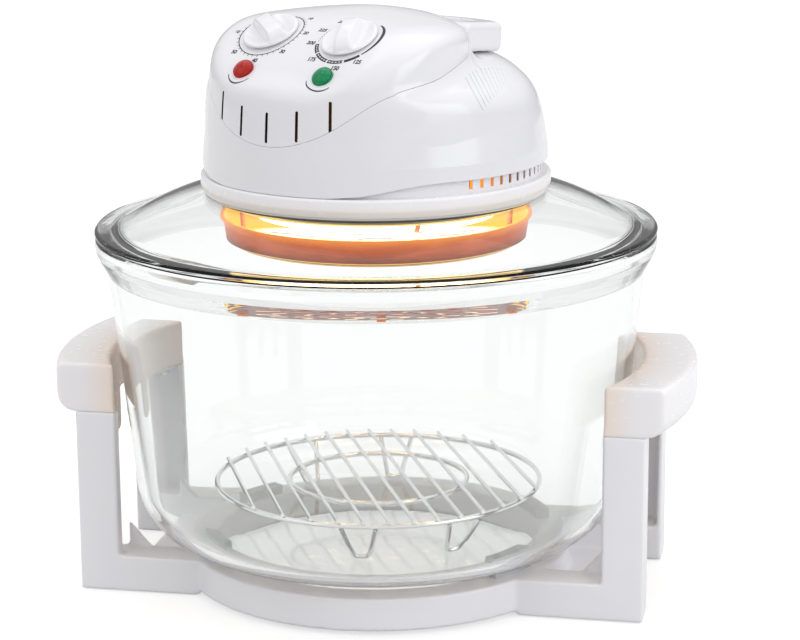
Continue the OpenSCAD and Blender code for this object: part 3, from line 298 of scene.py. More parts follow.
def metal(name, colour, rough=0.25, brushed=None, stain=0.12):
    """Bare metal, brushed along one axis or rolled, with faint stains."""
    f = Finish(name, Metallic=1.0)
    lines = f.noise(0.002, 5.0, 0.6, brushed) if brushed else f.noise(0.0016, 5.0)
    blotch = f.noise(0.02, 3.0)
    f.set(Base_Color=f.mix(blotch, shade(colour, 1 - stain), shade(colour, 1 + stain / 2)),
          Roughness=rough + (lines - 0.5) * 0.18, Normal=f.bump(lines, 0.00003, 0.5))
    return f.material


def clear_glass(name, tint, ior=1.46):
    """Pressed clear glass with the faint waves of its mould."""
    f = Finish(name, Transmission_Weight=1.0, IOR=ior, Base_Color=tint)
    f.set(Roughness=f.noise(0.03, 2.0) * 0.012, Normal=f.bump(f.noise(0.05, 1.0), 0.0003, 0.25))
    return f.material


def lens(name, colour):
    """Moulded lens: mottled deep colour under a thin clear coat, with a faint light of its own."""
    f = Finish(name, Coat_Roughness=0.02, IOR=1.45, Specular_IOR_Level=0.3, Emission_Strength=0.06)
    mottled = f.noise(0.0016, 2.0)
    f.set(Base_Color=f.mix(mottled, shade(colour, 0.55), shade(colour, 1.7)), Roughness=0.10 + mottled * 0.08,
          Coat_Weight=0.3 + (mottled - 0.5) * 0.2, Emission_Color=f.mix(mottled, shade(colour, 0.2), colour),
          Normal=f.bump(mottled, 0.0002, 0.5))
    return f.material


def glowing(name, core, edge, strength, size):
    """Hot glass or wire: two tints of light in blotches of a size."""
    f = Finish(name, Base_Color=(0.9, 0.85, 0.75), Roughness=0.2, Emission_Strength=strength)
    f.set(Emission_Color=f.mix(f.noise(size, 2.0), edge, core))
    return f.material


def heated_dish(name):
    """Reflector beside the lamp with painted lamplight: a glow painted white above the lamp and yellow towards its
    edge.
    """
    f = Finish(name, Metallic=0.6, Emission_Strength=2.4)
    blotch = f.noise(0.012, 4.0)
    f.set(Base_Color=f.mix(blotch, (0.62, 0.42, 0.22), (0.80, 0.62, 0.38)),
          Roughness=0.3 + (f.noise(0.002, 4.0) - 0.5) * 0.2,
          Emission_Color=f.mix(f.reach().fade(0.074, 0.088) * 0.85 + blotch * 0.15, (1.0, 0.88, 0.62),
                               (0.44, 0.26, 0.015)))
    return f.material


def heated_guard(name, floor_z, top_z, wall_r, lean):
    """Guard pan with painted lamplight: a glow painted white on its floor and yellow on its inner wall, and a
    copper-orange glow painted on the steel outside, which darkens towards its foot.

    wall_r is the wall's radius at the floor, and lean is how far it leans out up to its rim.
    """
    f = Finish(name, Metallic=0.35, Emission_Strength=2.4)
    reach, z = f.reach(), f.axis("Z")
    height = (z - floor_z) / (top_z - floor_z)
    blotch = f.noise(0.018, 4.0, 0.6, (1, 1, 2.5))
    outer = (reach - height * lean).fade(wall_r - 0.0005, wall_r - 0.0003)
    below = (floor_z + 0.0005 - z).fade(0.0, 0.0002)
    foot = reach.fade(wall_r - 0.0028, wall_r - 0.0026) * (floor_z + 0.0018 - z).fade(0.0, 0.0002)
    for more in (below, foot):
        outer = f.value("ShaderNodeMath", {0: outer, 1: more}, operation="MAXIMUM")
    # Outside: painted lamplight, dark low down and copper-orange towards the rim.
    painted_warm_light = f.mix((height + (blotch - 0.5) * 0.5).fade(0.0, 0.62), (0.030, 0.0035, 0.0008),
                 (0.20, 0.032, 0.002))
    painted_warm_light = f.mix((height + (blotch - 0.5) * 0.2).fade(0.6, 1.0), painted_warm_light, (0.36, 0.10, 0.003))
    # Inside: painted lamplight, white on the floor and yellow up the wall.
    inside = f.mix(reach.fade(0.070, 0.084), (1.0, 0.90, 0.66), (0.42, 0.25, 0.010))
    f.set(Base_Color=f.mix(blotch, (0.060, 0.014, 0.005), (0.15, 0.040, 0.014)),
          Roughness=0.38 + (f.noise(0.002, 4.0, 0.6, (1, 1, 14)) - 0.5) * 0.2,
          Emission_Color=f.mix(outer, inside, painted_warm_light))
    return f.material


def warm_steel(name):
    """Small steel parts with painted lamplight: a warm glow painted on them where the lamp lights them from inside.
    """
    f = Finish(name, Metallic=0.7, Emission_Strength=1.0)
    blotch = f.noise(0.004, 3.0)
    f.set(Base_Color=f.mix(blotch, (0.20, 0.08, 0.035), (0.36, 0.16, 0.08)), Roughness=0.35 + blotch * 0.15,
          Emission_Color=f.mix(blotch, (0.30, 0.06, 0.006), (0.62, 0.17, 0.02)))
    return f.material


def wound_copper(name):
    """Enamelled wire in close turns."""
    f = Finish(name, Metallic=0.9, Roughness=0.35)
    turns = f.value("ShaderNodeTexWave", {"Vector": f.place, "Scale": 420.0, "Distortion": 0.4}, out="Fac",
                    bands_direction="Z")
    f.set(Base_Color=f.mix(turns, (0.30, 0.09, 0.03), (0.78, 0.33, 0.14)), Normal=f.bump(turns, 0.0003, 0.8))
    return f.material


def laminated(name):
    """Core steel in a stack of thin sheets."""
    f = Finish(name, Metallic=0.8)
    sheets = f.value("ShaderNodeTexWave", {"Vector": f.place, "Scale": 320.0}, out="Fac", bands_direction="Z")
    f.set(Base_Color=f.mix(sheets, (0.13, 0.14, 0.16), (0.32, 0.33, 0.36)),
          Roughness=0.35 + sheets * 0.2, Normal=f.bump(sheets, 0.0002, 0.7))
    return f.material


def fibre(name):
    """Pressed fibre or unglazed ceramic."""
    f = Finish(name)
    weave = f.noise(0.0012, 5.0, 0.7)
    f.set(Base_Color=f.mix(weave, (0.52, 0.46, 0.36), (0.78, 0.73, 0.62)), Roughness=0.85 + (weave - 0.5) * 0.1,
          Normal=f.bump(weave, 0.0005, 0.8))
    return f.material


def build_finishes(look):
    """Every finish by its name; nodes take the one that their slot names."""
    shell = tuple(look.shell)
    return {
        # Stand, grips and bezel take lighter copies of the shell's white: painted light that brightens them.
        "stand_plastic": moulded("stand_plastic", shade(shell, 1.10), 0.30, 0.25),
        # Grips and bezel take painted lamplight: a warm tint on the grips near the bowl, and along the bezel's
        # foot.
        "grip_plastic": lit_plastic("grip_plastic", shade(shell, 1.12), (1.0, 0.84, 0.73), False, 0.156, 0.178),
        "bezel_plastic": lit_plastic("bezel_plastic", shade(shell, 1.08), (0.98, 0.88, 0.80), True,
                                     0.2370, 0.2455),
        "collar_plastic": lit_collar("collar_plastic", shell),
        "head_plastic": moulded("head_plastic", shell, 0.20, 0.45),
        "panel_plastic": moulded("panel_plastic", shade(shell, 1.01), 0.20, 0.45),
        "knob_plastic": moulded("knob_plastic", shade(shell, 1.03), 0.20, 0.5),
        "handle_plastic": moulded("handle_plastic", shell, 0.20, 0.45),
        "rest_silicone": rubber("rest_silicone", (0.62, 0.63, 0.64)),
        "foot_rubber": rubber("foot_rubber", (0.10, 0.10, 0.11)),
        "screw_steel": metal("screw_steel", (0.55, 0.56, 0.58), 0.3),
        "bowl_glass": clear_glass("bowl_glass", (0.915, 0.93, 0.925)),
        "lid_glass": clear_glass("lid_glass", (0.940, 0.950, 0.945), 1.28),
        "rack_chrome": metal("rack_chrome", (0.78, 0.79, 0.80), 0.12, None, 0.05),
        "gland_plastic": rubber("gland_plastic", (0.70, 0.70, 0.71)),
        "red_lens": lens("red_lens", tuple(look.red)),
        "green_lens": lens("green_lens", tuple(look.green)),
        "bulb_glass": glowing("bulb_glass", (1.0, 0.72, 0.4), (0.9, 0.5, 0.2), 1.0, 0.002),
        "control_case": moulded("control_case", (0.34, 0.27, 0.19), 0.5, 0.0, 0.00005, 0.1),
        "sheet_steel": metal("sheet_steel", (0.60, 0.61, 0.62), 0.32, (1, 12, 1)),
        "core_steel": laminated("core_steel"),
        "copper_wire": wound_copper("copper_wire"),
        "fan_plastic": moulded("fan_plastic", (0.55, 0.56, 0.57), 0.4, 0.1),
        "fan_aluminium": metal("fan_aluminium", (0.70, 0.71, 0.72), 0.3, (1, 1, 10)),
        "insulation": fibre("insulation"),
        "reflector_metal": heated_dish("reflector_metal"),
        "lamp_glass": glowing("lamp_glass", (1.0, 0.80, 0.48), (1.0, 0.62, 0.24), look.lamp_glow, 0.02),
        "filament_wire": glowing("filament_wire", (1.0, 0.9, 0.7), (1.0, 0.75, 0.4), look.lamp_glow * 2, 0.003),
        "lamp_ceramic": fibre("lamp_ceramic"),
        "guard_steel": heated_guard("guard_steel", GUARD_Z[0], GUARD_Z[1], GUARD_R, 0.0014),
        "post_steel": warm_steel("post_steel"),
        "switch_plastic": moulded("switch_plastic", (0.035, 0.035, 0.04), 0.45, 0.05, 0.00005, 0.15),
        "plunger_plastic": moulded("plunger_plastic", (0.40, 0.03, 0.02), 0.4, 0.1, 0.00004, 0.1),
        "dial_ink": moulded("dial_ink", tuple(look.ink), 0.42, 0.0, 0.00003, 0.2),
    }


FINISH = {}


# ---------------------------------------------------------------- mesh helpers

def piece(name, points, faces, body, slot, smooth=True):
    """A finished mesh object at the origin, riding on a body, with one finish."""
    mesh = bpy.data.meshes.new(name)
    mesh.from_pydata([tuple(map(float, p)) for p in points], [], faces)
    return dress(bpy.data.objects.new(name, mesh), body, slot, smooth)


def dress(obj, body, slot, smooth=True):
    """Links an object, gives it its finish, and hangs it on the empty of its body."""
    if obj.name not in bpy.context.scene.collection.all_objects:
        bpy.context.scene.collection.objects.link(obj)
    obj.data.validate()
    obj.data.polygons.foreach_set("use_smooth", [smooth] * len(obj.data.polygons))
    obj.data.materials.clear()
    obj.data.materials.append(FINISH[slot])
    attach(obj, body)
    return obj


def evaluated(obj, name):
    """The plain mesh of an object with its modifiers, as a new object; the old one goes."""
    depsgraph = bpy.context.evaluated_depsgraph_get()
    mesh = bpy.data.meshes.new_from_object(obj.evaluated_get(depsgraph))
    mesh.name = name
    old = obj.data
    bpy.data.objects.remove(obj)
    if isinstance(old, bpy.types.Mesh) and not old.users:
        bpy.data.meshes.remove(old)
    return bpy.data.objects.new(name, mesh)


def work_object(name, mesh):
    """An object in the scene for a step in between."""
    obj = bpy.data.objects.new(name, mesh)
    bpy.context.scene.collection.objects.link(obj)
    return obj


def cad_copy(name, node):
    """A copy of a CAD node with its loose triangles joined."""
    mesh = frame["nodes"][node].data.copy()
    bm = bmesh.new()
    bm.from_mesh(mesh)
    bmesh.ops.remove_doubles(bm, verts=bm.verts, dist=2e-6)
    bm.to_mesh(mesh)
    bm.free()
    mesh.materials.clear()
    return work_object(name, mesh)


def softened(name, node, body, slot, cell, rounds=3, keep=1.0, soft=0, low=None, high=None):
    """A moulded copy of a CAD node whose edges are smoothed for some rounds, and more for soft rounds.

    Only what lies between the heights low and high changes, and keep is the share of faces that stay.
    """
    obj = cad_copy(name + "_raw", node)
    remesh = obj.modifiers.new("cells", "REMESH")
    remesh.mode, remesh.voxel_size, remesh.adaptivity = "VOXEL", cell, 0.0
    obj = evaluated(obj, name + "_cells")
    bpy.context.scene.collection.objects.link(obj)
    fade = 0.005
    heights = np.array([v.co.z for v in obj.data.vertices])
    share = np.ones_like(heights)
    for inside in ([] if low is None else [heights - low]) + ([] if high is None else [high - heights]):
        share = np.minimum(share, np.clip(inside / fade, 0, 1))
    zone = obj.vertex_groups.new(name="zone")
    for index in np.nonzero(share)[0]:
        zone.add([int(index)], float(share[index]), "REPLACE")
    for label, count in (("relax", rounds), ("soften", soft)):
        if count:
            relax = obj.modifiers.new(label, "SMOOTH")
            relax.factor, relax.iterations, relax.vertex_group = 0.5, count, "zone"
    if keep < 1.0:
        thin = obj.modifiers.new("thin", "DECIMATE")
        thin.ratio = keep
    done = dress(evaluated(obj, name), body, slot)
    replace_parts(done, node)
    return done


def lathe(name, profile, turns, body, slot, closed=True):
    """Turns a closed outline of (radius, height), given counter-clockwise, about Z."""
    profile = [(max(r, 0.0), z) for r, z in profile]
    angles = np.linspace(0, 2 * math.pi, turns, endpoint=False)
    points, rings = [], []
    for r, z in profile:
        if r < 1e-7:
            rings.append([len(points)] * turns)
            points.append((0, 0, z))
        else:
            rings.append(list(range(len(points), len(points) + turns)))
            points += [(r * math.cos(a), r * math.sin(a), z) for a in angles]
    faces = []
    count = len(profile)
    for i in range(count if closed else count - 1):
        a, b = rings[i], rings[(i + 1) % count]
        for k in range(turns):
            n = (k + 1) % turns
            corners = [a[k], a[n], b[n], b[k]]
            face = [c for j, c in enumerate(corners) if c != corners[j - 1]]
            if len(set(face)) > 2:
                faces.append(face)
    return piece(name, points, faces, body, slot)


def rounded(outline, steps=5):
    """An outline of (x, y, radius) with each corner turned into an arc of that radius."""
    result = []
    count = len(outline)
    for i, (x, y, radius) in enumerate(outline):
        if radius <= 0:
            result.append((x, y))
            continue
        here = Vector((x, y))
        before = Vector(outline[i - 1][:2]) - here
        after = Vector(outline[(i + 1) % count][:2]) - here
        half = before.angle(after) / 2
        reach = min(radius / math.tan(half), before.length * 0.49, after.length * 0.49)
        radius = reach * math.tan(half)
        p, q = here + before.normalized() * reach, here + after.normalized() * reach
        middle = here + (before.normalized() + after.normalized()).normalized() * radius / math.sin(half)
        a0 = math.atan2(p.y - middle.y, p.x - middle.x)
        a1 = math.atan2(q.y - middle.y, q.x - middle.x)
        sweep = (a1 - a0 + math.pi) % (2 * math.pi) - math.pi
        result += [(middle.x + radius * math.cos(a0 + sweep * k / steps),
                    middle.y + radius * math.sin(a0 + sweep * k / steps)) for k in range(steps + 1)]
    return result


def metres(outline, lift):
    """An outline of (radius, height) in millimetres, lifted over the table and in metres."""
    return [(r / 1000, (z + lift) / 1000) for r, z in outline]


# ---------------------------------------------------------------- the head as one smooth solid

def soft_max(a, b, k):
    """The greater of two distances, blended over a width k."""
    h = np.maximum(k - np.abs(a - b), 0) / k
    return np.maximum(a, b) + h * h * k / 4


def soft_min(a, b, k):
    return -soft_max(-a, -b, k)


def dome(r, z, ring_r, ring_h, edge, low, high):
    """Distance to a turned dome: an arc about (ring_r, ring_h) that runs on straight at both ends."""
    dr, dz = r - ring_r, z - ring_h
    turn = np.arctan2(dz, dr)
    side = dr * math.cos(low) + dz * math.sin(low) - edge
    top = dr * math.cos(high) + dz * math.sin(high) - edge
    return np.where(turn < low, side, np.where(turn > high, top, np.hypot(dr, dz) - edge))


def head_distance(p):
    """Signed distance, in millimetres, to the head's outer skin: below zero is inside."""
    x, y, z = p[..., 0], p[..., 1], p[..., 2]
    r = np.hypot(x, y)
    rad = math.radians
    shoulder = np.maximum(dome(r, z, 54, 24.7, 44.5, rad(9), rad(84)), (r - HEAD_R) * 0.9976 + z * 0.069)
    front = np.maximum(dome(r, z, 61.5, 53.7, 37, rad(4.85), rad(84)), (r - HEAD_R) * 0.9995 + z * 0.030)
    c, s = math.cos(rad(5)), math.sin(rad(5))
    ty, tz = (y + 9) * c - z * s, (y + 9) * s + z * c
    cheek = dome(np.hypot(x, ty), tz, 82, 41.5, 13, 0.0, rad(85))
    roll = np.where(y < PANEL_MID[0], np.hypot(y - PANEL_MID[0], z - PANEL_MID[1]) - PANEL_R, z - HEAD_H)
    ball = np.sqrt(x * x + (y + 40) ** 2 + (z - (HEAD_H + 6.8 - 170)) ** 2) - 170
    disc = soft_max(np.hypot(x, y - TONGUE[1]) - TONGUE[2], y - STEP_Y, 4.0)
    spine = soft_max(soft_max(np.abs(x) - SPINE_HALF, y - SPINE_END, 5.0), r - SPINE_R, 5.0)
    plan = np.minimum(disc, spine)
    tongue = soft_max(soft_max(roll, ball, 6.0), plan, CREASE)
    front_end = soft_max(front, soft_min(cheek, tongue, VALLEY), 3.0)
    k = 0.6 + 9.0 * np.clip((z - 28) / 25, 0, 1)
    return soft_min(shoulder, front_end, k)


def skin_at(start, directions, near, far, rounds):
    """Distances from start, between near (inside) and far (outside), at which the skin is met."""
    shape = np.broadcast_shapes(start.shape, directions.shape)[:-1]
    near, far = np.full(shape, float(near)), np.full(shape, float(far))
    for _ in range(rounds):
        middle = (near + far) / 2
        inside = head_distance(start + directions * middle[..., None]) < 0
        near, far = np.where(inside, middle, near), np.where(inside, far, middle)
    return near[..., None]


def cast(directions, reach=175.0):
    """Where rays from inside the head leave it."""
    return EYE + directions * skin_at(EYE, directions, 0.0, reach, 24)


def head_normal(p, step=0.05):
    """Unit normals of the smooth solid at points."""
    n = np.stack([head_distance(p + step * e) - head_distance(p - step * e) for e in np.eye(3)], -1)
    return n / np.maximum(np.linalg.norm(n, axis=-1, keepdims=True), 1e-12)


def ray(psi, phi):
    """Directions from an azimuth off the nose and an elevation."""
    psi, phi = np.broadcast_arrays(psi, phi)
    return np.stack([np.sin(psi) * np.cos(phi), -np.cos(psi) * np.cos(phi), np.sin(phi)], -1)


def outside_panel(p):
    """Above zero where a point of the skin is past the panel's edge."""
    x, y, z = p[..., 0], p[..., 1], p[..., 2]
    sweep = EDGE_SWEEP_R - np.sqrt(np.maximum(EDGE_SWEEP_R ** 2 - np.minimum(np.abs(x), EDGE_SWEEP_R) ** 2, 0))
    lower = PANEL_EDGE_H + soft_min(sweep, EDGE_CAP, 16.0) - z
    side = np.hypot(x, y - TONGUE[1]) - (TONGUE[2] + 0.6)
    return np.maximum(np.maximum(lower, side), y - PANEL_REAR_Y)


def skirt_height(p):
    """Height of the housing's lower edge at a point of its rim."""
    return np.interp(p[..., 1], [-200, -95, -86, -73, -62, -50, 200], [0.3, 0.3, 1.76, 5.44, 7.36, 8.0, 8.0])


def edge_angle(psi, past, start, end, steps=420):
    """For each azimuth, the elevation at which the skin first passes an edge."""
    phis = np.linspace(start, end, steps)
    points = cast(ray(psi[:, None], phis[None, :]))
    over = past(points) > 0
    first = np.where(over.any(1), over.argmax(1), steps - 1)
    high, low = phis[np.maximum(first - 1, 0)], phis[first]
    for _ in range(14):
        middle = (high + low) / 2
        crossed = past(cast(ray(psi, middle))) > 0
        low, high = np.where(crossed, middle, low), np.where(crossed, high, middle)
    return (high + low) / 2


def to_world(p):
    """From the head's millimetres to metres on the table."""
    c, s = math.cos(LID_TURN), math.sin(LID_TURN)
    x, y, z = p[..., 0], p[..., 1], p[..., 2]
    return np.stack([(c * x - s * y), (s * x + c * y), z + HEAD_Z], -1) / 1000


def shell_mesh(name, grid, wall, body, slot, pole=False):
    """A closed wall from a grid of skin points, rows from its inner edge outwards, columns round it."""
    rows, columns = grid.shape[:2]
    normal = head_normal(grid)
    outer = grid.copy()
    for row, drop in ((-1, 0.12), (-2, 0.02)) + (() if pole else ((0, 0.12), (1, 0.02))):
        outer[row] -= normal[row] * drop
    inner = grid - normal * wall
    inner[..., 2] = np.maximum(inner[..., 2], 0.3)
    points = np.concatenate([to_world(layer).reshape(-1, 3) for layer in (outer, inner)])
    size = rows * columns
    faces = []
    k = np.arange(columns)
    n = (k + 1) % columns
    for i in range(rows - 1):
        a, b = i * columns, (i + 1) * columns
        faces += np.stack([a + k, b + k, b + n, a + n], 1).tolist()
        faces += np.stack([size + a + k, size + a + n, size + b + n, size + b + k], 1).tolist()
    last = (rows - 1) * columns
    faces += np.stack([last + k, size + last + k, size + last + n, last + n], 1).tolist()
    if pole:
        faces.append([int(v) for v in k[::-1]])
        faces.append([int(size + v) for v in k])
    else:
        faces += np.stack([n, size + n, size + k, k], 1).tolist()
    return piece(name, points, faces, body, slot)


def empty_tree(name, numbers):
    """A node tree with a mesh and a finish as inputs beside its numbers, and its first and last nodes."""
    tree = bpy.data.node_groups.new(name, "GeometryNodeTree")
    sockets = [("Geometry", "Geometry", None)] + list(numbers) + [("Finish", "Material", None)]
    for label, kind, default in sockets:
        socket = tree.interface.new_socket(label, in_out="INPUT", socket_type="NodeSocket" + kind)
        if default is not None:
            socket.default_value = default
    tree.interface.new_socket("Geometry", in_out="OUTPUT", socket_type="NodeSocketGeometry")
    new, link = tree.nodes.new, tree.links.new
    start, end = new("NodeGroupInput"), new("NodeGroupOutput")
    real, paint = new("GeometryNodeRealizeInstances"), new("GeometryNodeSetMaterial")
    link(real.outputs[0], paint.inputs["Geometry"])
    link(start.outputs["Finish"], paint.inputs["Material"])
    link(paint.outputs[0], end.inputs[0])
    return tree, start, real


def swept_tree(name):
    """Geometry nodes that sweep a round section along the edges of a mesh."""
    tree, start, real = empty_tree(name, (("Radius", "Float", 0.001), ("Facets", "Int", 12)))
    new, link = tree.nodes.new, tree.links.new
    curve, ring = new("GeometryNodeMeshToCurve"), new("GeometryNodeCurvePrimitiveCircle")
    sweep = new("GeometryNodeCurveToMesh")
    sweep.inputs["Fill Caps"].default_value = True
    link(start.outputs["Geometry"], curve.inputs[0])
    link(start.outputs["Radius"], ring.inputs["Radius"])
    link(start.outputs["Facets"], ring.inputs["Resolution"])
    link(curve.outputs[0], sweep.inputs[0])
    link(ring.outputs[0], sweep.inputs[1])
    link(sweep.outputs[0], real.inputs[0])
    return tree


def ticks_tree(name):
    """Geometry nodes that set a small bar at every point of a mesh, turned about a centre."""
    tree, start, real = empty_tree(name, (("Length", "Float", 0.002), ("Width", "Float", 0.0004)))
    new, link = tree.nodes.new, tree.links.new
    bar, place = new("GeometryNodeMeshGrid"), new("GeometryNodeInstanceOnPoints")
    align, outwards = new("FunctionNodeAlignRotationToVector"), new("GeometryNodeInputPosition")
    for side in ("Vertices X", "Vertices Y"):
        bar.inputs[side].default_value = 2
    align.axis, align.pivot_axis = "X", "Z"
    link(start.outputs["Length"], bar.inputs["Size X"])
    link(start.outputs["Width"], bar.inputs["Size Y"])
    link(outwards.outputs[0], align.inputs["Vector"])
    link(start.outputs["Geometry"], place.inputs["Points"])
    link(bar.outputs["Mesh"], place.inputs["Instance"])
    link(align.outputs[0], place.inputs["Rotation"])
    link(place.outputs[0], real.inputs[0])
    return tree


def grown(name, mesh, tree, **inputs):
    """A mesh with a node tree applied to it, as a new plain object that isn't placed yet."""
    obj = work_object(name + "_seed", mesh)
    nodes = obj.modifiers.new("nodes", "NODES")
    nodes.node_group = tree
    known = {item.name: item.identifier for item in tree.interface.items_tree
             if item.item_type == "SOCKET" and item.in_out == "INPUT"}
    for label, given in inputs.items():
        nodes[known[label]] = given
    return evaluated(obj, name)


def lines_mesh(name, runs):
    """A mesh of open or closed runs of points; each run is (points, closed)."""
    points, edges = [], []
    for run, closed in runs:
        base = len(points)
        points += [tuple(map(float, p)) for p in run]
        edges += [(base + i, base + i + 1) for i in range(len(run) - 1)]
        if closed:
            edges.append((base + len(run) - 1, base))
    mesh = bpy.data.meshes.new(name)
    mesh.from_pydata(points, edges, [])
    return mesh


def cut(obj, *cutters):
    """obj with the cutters taken away from it."""
    for cutter in cutters:
        knife = obj.modifiers.new("cut", "BOOLEAN")
        knife.operation, knife.object, knife.solver = "DIFFERENCE", cutter, "EXACT"
        if cutter.data.materials:
            knife.material_mode = "TRANSFER"
    depsgraph = bpy.context.evaluated_depsgraph_get()
    mesh = bpy.data.meshes.new_from_object(obj.evaluated_get(depsgraph))
    obj.modifiers.clear()
    if len(mesh.polygons) < 0.5 * len(obj.data.polygons):
        raise RuntimeError(f"cutting {obj.name} lost its faces")
    obj.data = mesh
    for cutter in cutters:
        bpy.data.objects.remove(cutter)
    mesh.polygons.foreach_set("use_smooth", [True] * len(mesh.polygons))
    mesh.set_sharp_from_angle(angle=math.radians(38))


# ---------------------------------------------------------------- operators

class OVEN_OT_stage(bpy.types.Operator):
    """Camera, soft studio light, white floor and sky"""
    bl_idname = "oven.stage"
    bl_label = "Stage"

    def execute(self, context):
        s = context.scene.oven_stage
        scene = context.scene
        scene.view_settings.view_transform = "Standard"

        yaw, pitch, roll = (math.radians(a) for a in (CAMERA_YAW, CAMERA_PITCH, CAMERA_ROLL))
        ahead = Vector((math.sin(yaw) * math.cos(pitch), math.cos(yaw) * math.cos(pitch), math.sin(pitch)))
        across = ahead.cross(Vector((0, 0, 1))).normalized()
        up = across.cross(ahead)
        c, n = math.cos(roll), math.sin(roll)
        across, up = c * across + n * up, c * up - n * across
        camera = bpy.data.cameras.new("camera")
        camera.lens, camera.sensor_width, camera.sensor_fit = SENSOR * CAMERA_FOCAL, SENSOR, "HORIZONTAL"
        camera.clip_start, camera.clip_end = 0.05, 50
        eye = bpy.data.objects.new("camera", camera)
        turned = Matrix((across, up, -ahead)).transposed().to_4x4()
        eye.matrix_world = Matrix.Translation(CAMERA_AT) @ turned
        scene.collection.objects.link(eye)
        scene.camera = eye

        for name, at, size, power, colour in (
                ("key_light", (-1.5, -1.4, 1.5), 1.6, s.key_power, (1.0, 0.985, 0.97)),
                ("fill_light", (1.9, -0.9, 0.9), 1.4, s.fill_power, (0.96, 0.98, 1.0)),
                ("top_light", (0.0, 0.4, 2.1), 1.8, s.top_power, (1, 1, 1))):
            light = bpy.data.lights.new(name, "AREA")
            light.energy, light.color, light.size = power, colour, size
            lamp = bpy.data.objects.new(name, light)
            lamp.location = at
            lamp.rotation_euler = (Vector((0, 0, 0.18)) - Vector(at)).to_track_quat("-Z", "Y").to_euler()
            scene.collection.objects.link(lamp)

        half = s.floor_size / 2
        mesh = bpy.data.meshes.new("floor")
        mesh.from_pydata([(-half, -half, 0), (half, -half, 0), (half, half, 0), (-half, half, 0)], [],
                         [(0, 1, 2, 3)])
        floor = bpy.data.objects.new("floor", mesh)
        scene.collection.objects.link(floor)
        mesh.materials.append(self.floor_finish(s))
        self.sky(scene, s)
        return {"FINISHED"}

    @staticmethod
    def floor_finish(s):
        """Paper that is white to the eye, in mirrors and through glass, and throws less light on the oven."""
        f = Finish("floor_paper", Roughness=0.8, Specular_IOR_Level=0.1)
        f.set(Base_Color=f.mix(f.noise(0.4, 2.0), (0.49, 0.49, 0.49), (0.51, 0.51, 0.51)))
        rays = f.add("ShaderNodeLightPath")
        seen = Value(f, rays.outputs["Is Camera Ray"])
        mirrored = Value(f, rays.outputs["Is Glossy Ray"])
        through = Value(f, rays.outputs["Is Transmission Ray"])
        level = f.value("ShaderNodeMath", {0: seen, 1: through}, operation="MAXIMUM")
        level = f.value("ShaderNodeMath", {0: level, 1: mirrored * MIRRORED_FLOOR}, operation="MAXIMUM")
        glow = f.add("ShaderNodeEmission", {"Color": (1, 1, 1), "Strength": level * s.floor_lift})
        both = f.add("ShaderNodeAddShader")
        f.tree.links.new(f.shader.outputs[0], both.inputs[0])
        f.tree.links.new(glow.outputs[0], both.inputs[1])
        out = next(n for n in f.tree.nodes if n.type == "OUTPUT_MATERIAL")
        f.tree.links.new(both.outputs[0], out.inputs["Surface"])
        return f.material

    @staticmethod
    def sky(scene, s):
        """World that lights evenly, is white to the eye and through glass, and banded grey in mirrors."""
        world = bpy.data.worlds.new("studio")
        scene.world = world
        world.use_nodes = True
        tree = world.node_tree
        tree.nodes.clear()
        new, link = tree.nodes.new, tree.links.new
        place, split = new("ShaderNodeTexCoord"), new("ShaderNodeSeparateXYZ")
        ramp = new("ShaderNodeValToRGB")
        while len(ramp.color_ramp.elements) < len(SKY_BANDS):
            ramp.color_ramp.elements.new(0.5)
        for element, (at, grey) in zip(ramp.color_ramp.elements, SKY_BANDS):
            element.position, element.color = at, (grey, grey, grey, 1)
        lift = new("ShaderNodeMath")
        lift.operation = "MULTIPLY_ADD"
        lift.inputs[1].default_value, lift.inputs[2].default_value = 0.5, 0.5
        link(place.outputs["Generated"], split.inputs[0])
        link(split.outputs["Z"], lift.inputs[0])
        link(lift.outputs[0], ramp.inputs[0])
        rays = new("ShaderNodeLightPath")
        lit, mirrored, seen = (new("ShaderNodeBackground") for _ in range(3))
        lit.inputs["Strength"].default_value = s.sky_level
        mirrored.inputs["Strength"].default_value = MIRRORED_SKY
        link(ramp.outputs[0], mirrored.inputs["Color"])
        for node in (lit, seen):
            node.inputs["Color"].default_value = (1, 1, 1, 1)
        shown = lit
        for kind, view in (("Is Glossy Ray", mirrored), ("Is Transmission Ray", seen), ("Is Camera Ray", seen)):
            choice = new("ShaderNodeMixShader")
            link(rays.outputs[kind], choice.inputs[0])
            link(shown.outputs[0], choice.inputs[1])
            link(view.outputs[0], choice.inputs[2])
            shown = choice
        out = new("ShaderNodeOutputWorld")
        link(shown.outputs[0], out.inputs["Surface"])


class OVEN_OT_finishes(bpy.types.Operator):
    """Finish of every CAD node, by its slot"""
    bl_idname = "oven.finishes"
    bl_label = "Finishes"

    def execute(self, context):
        FINISH.update(build_finishes(context.scene.oven_finish))
        for name, obj in frame["nodes"].items():
            finish = FINISH[FINISH_OF.get(name, SLOT_OF[name])]
            if not obj.material_slots:
                obj.data.materials.append(finish)
            for slot in obj.material_slots:
                slot.material = finish
        return {"FINISHED"}


class OVEN_OT_stand(bpy.types.Operator):
    """Stand frame and grips with moulded edges"""
    bl_idname = "oven.stand"
    bl_label = "Stand"

    def execute(self, context):
        cell = context.scene.oven_skin.soft_edge
        softened("stand_frame", "base_frame", "stand", "stand_plastic", cell, 3, 0.45, high=0.108)
        for side in ("left", "right"):
            softened(f"{side}_grip_cap", f"{side}_grip", "stand", "grip_plastic", cell * 0.9, 2, 0.7, soft=16,
                     low=0.111)
        return {"FINISHED"}


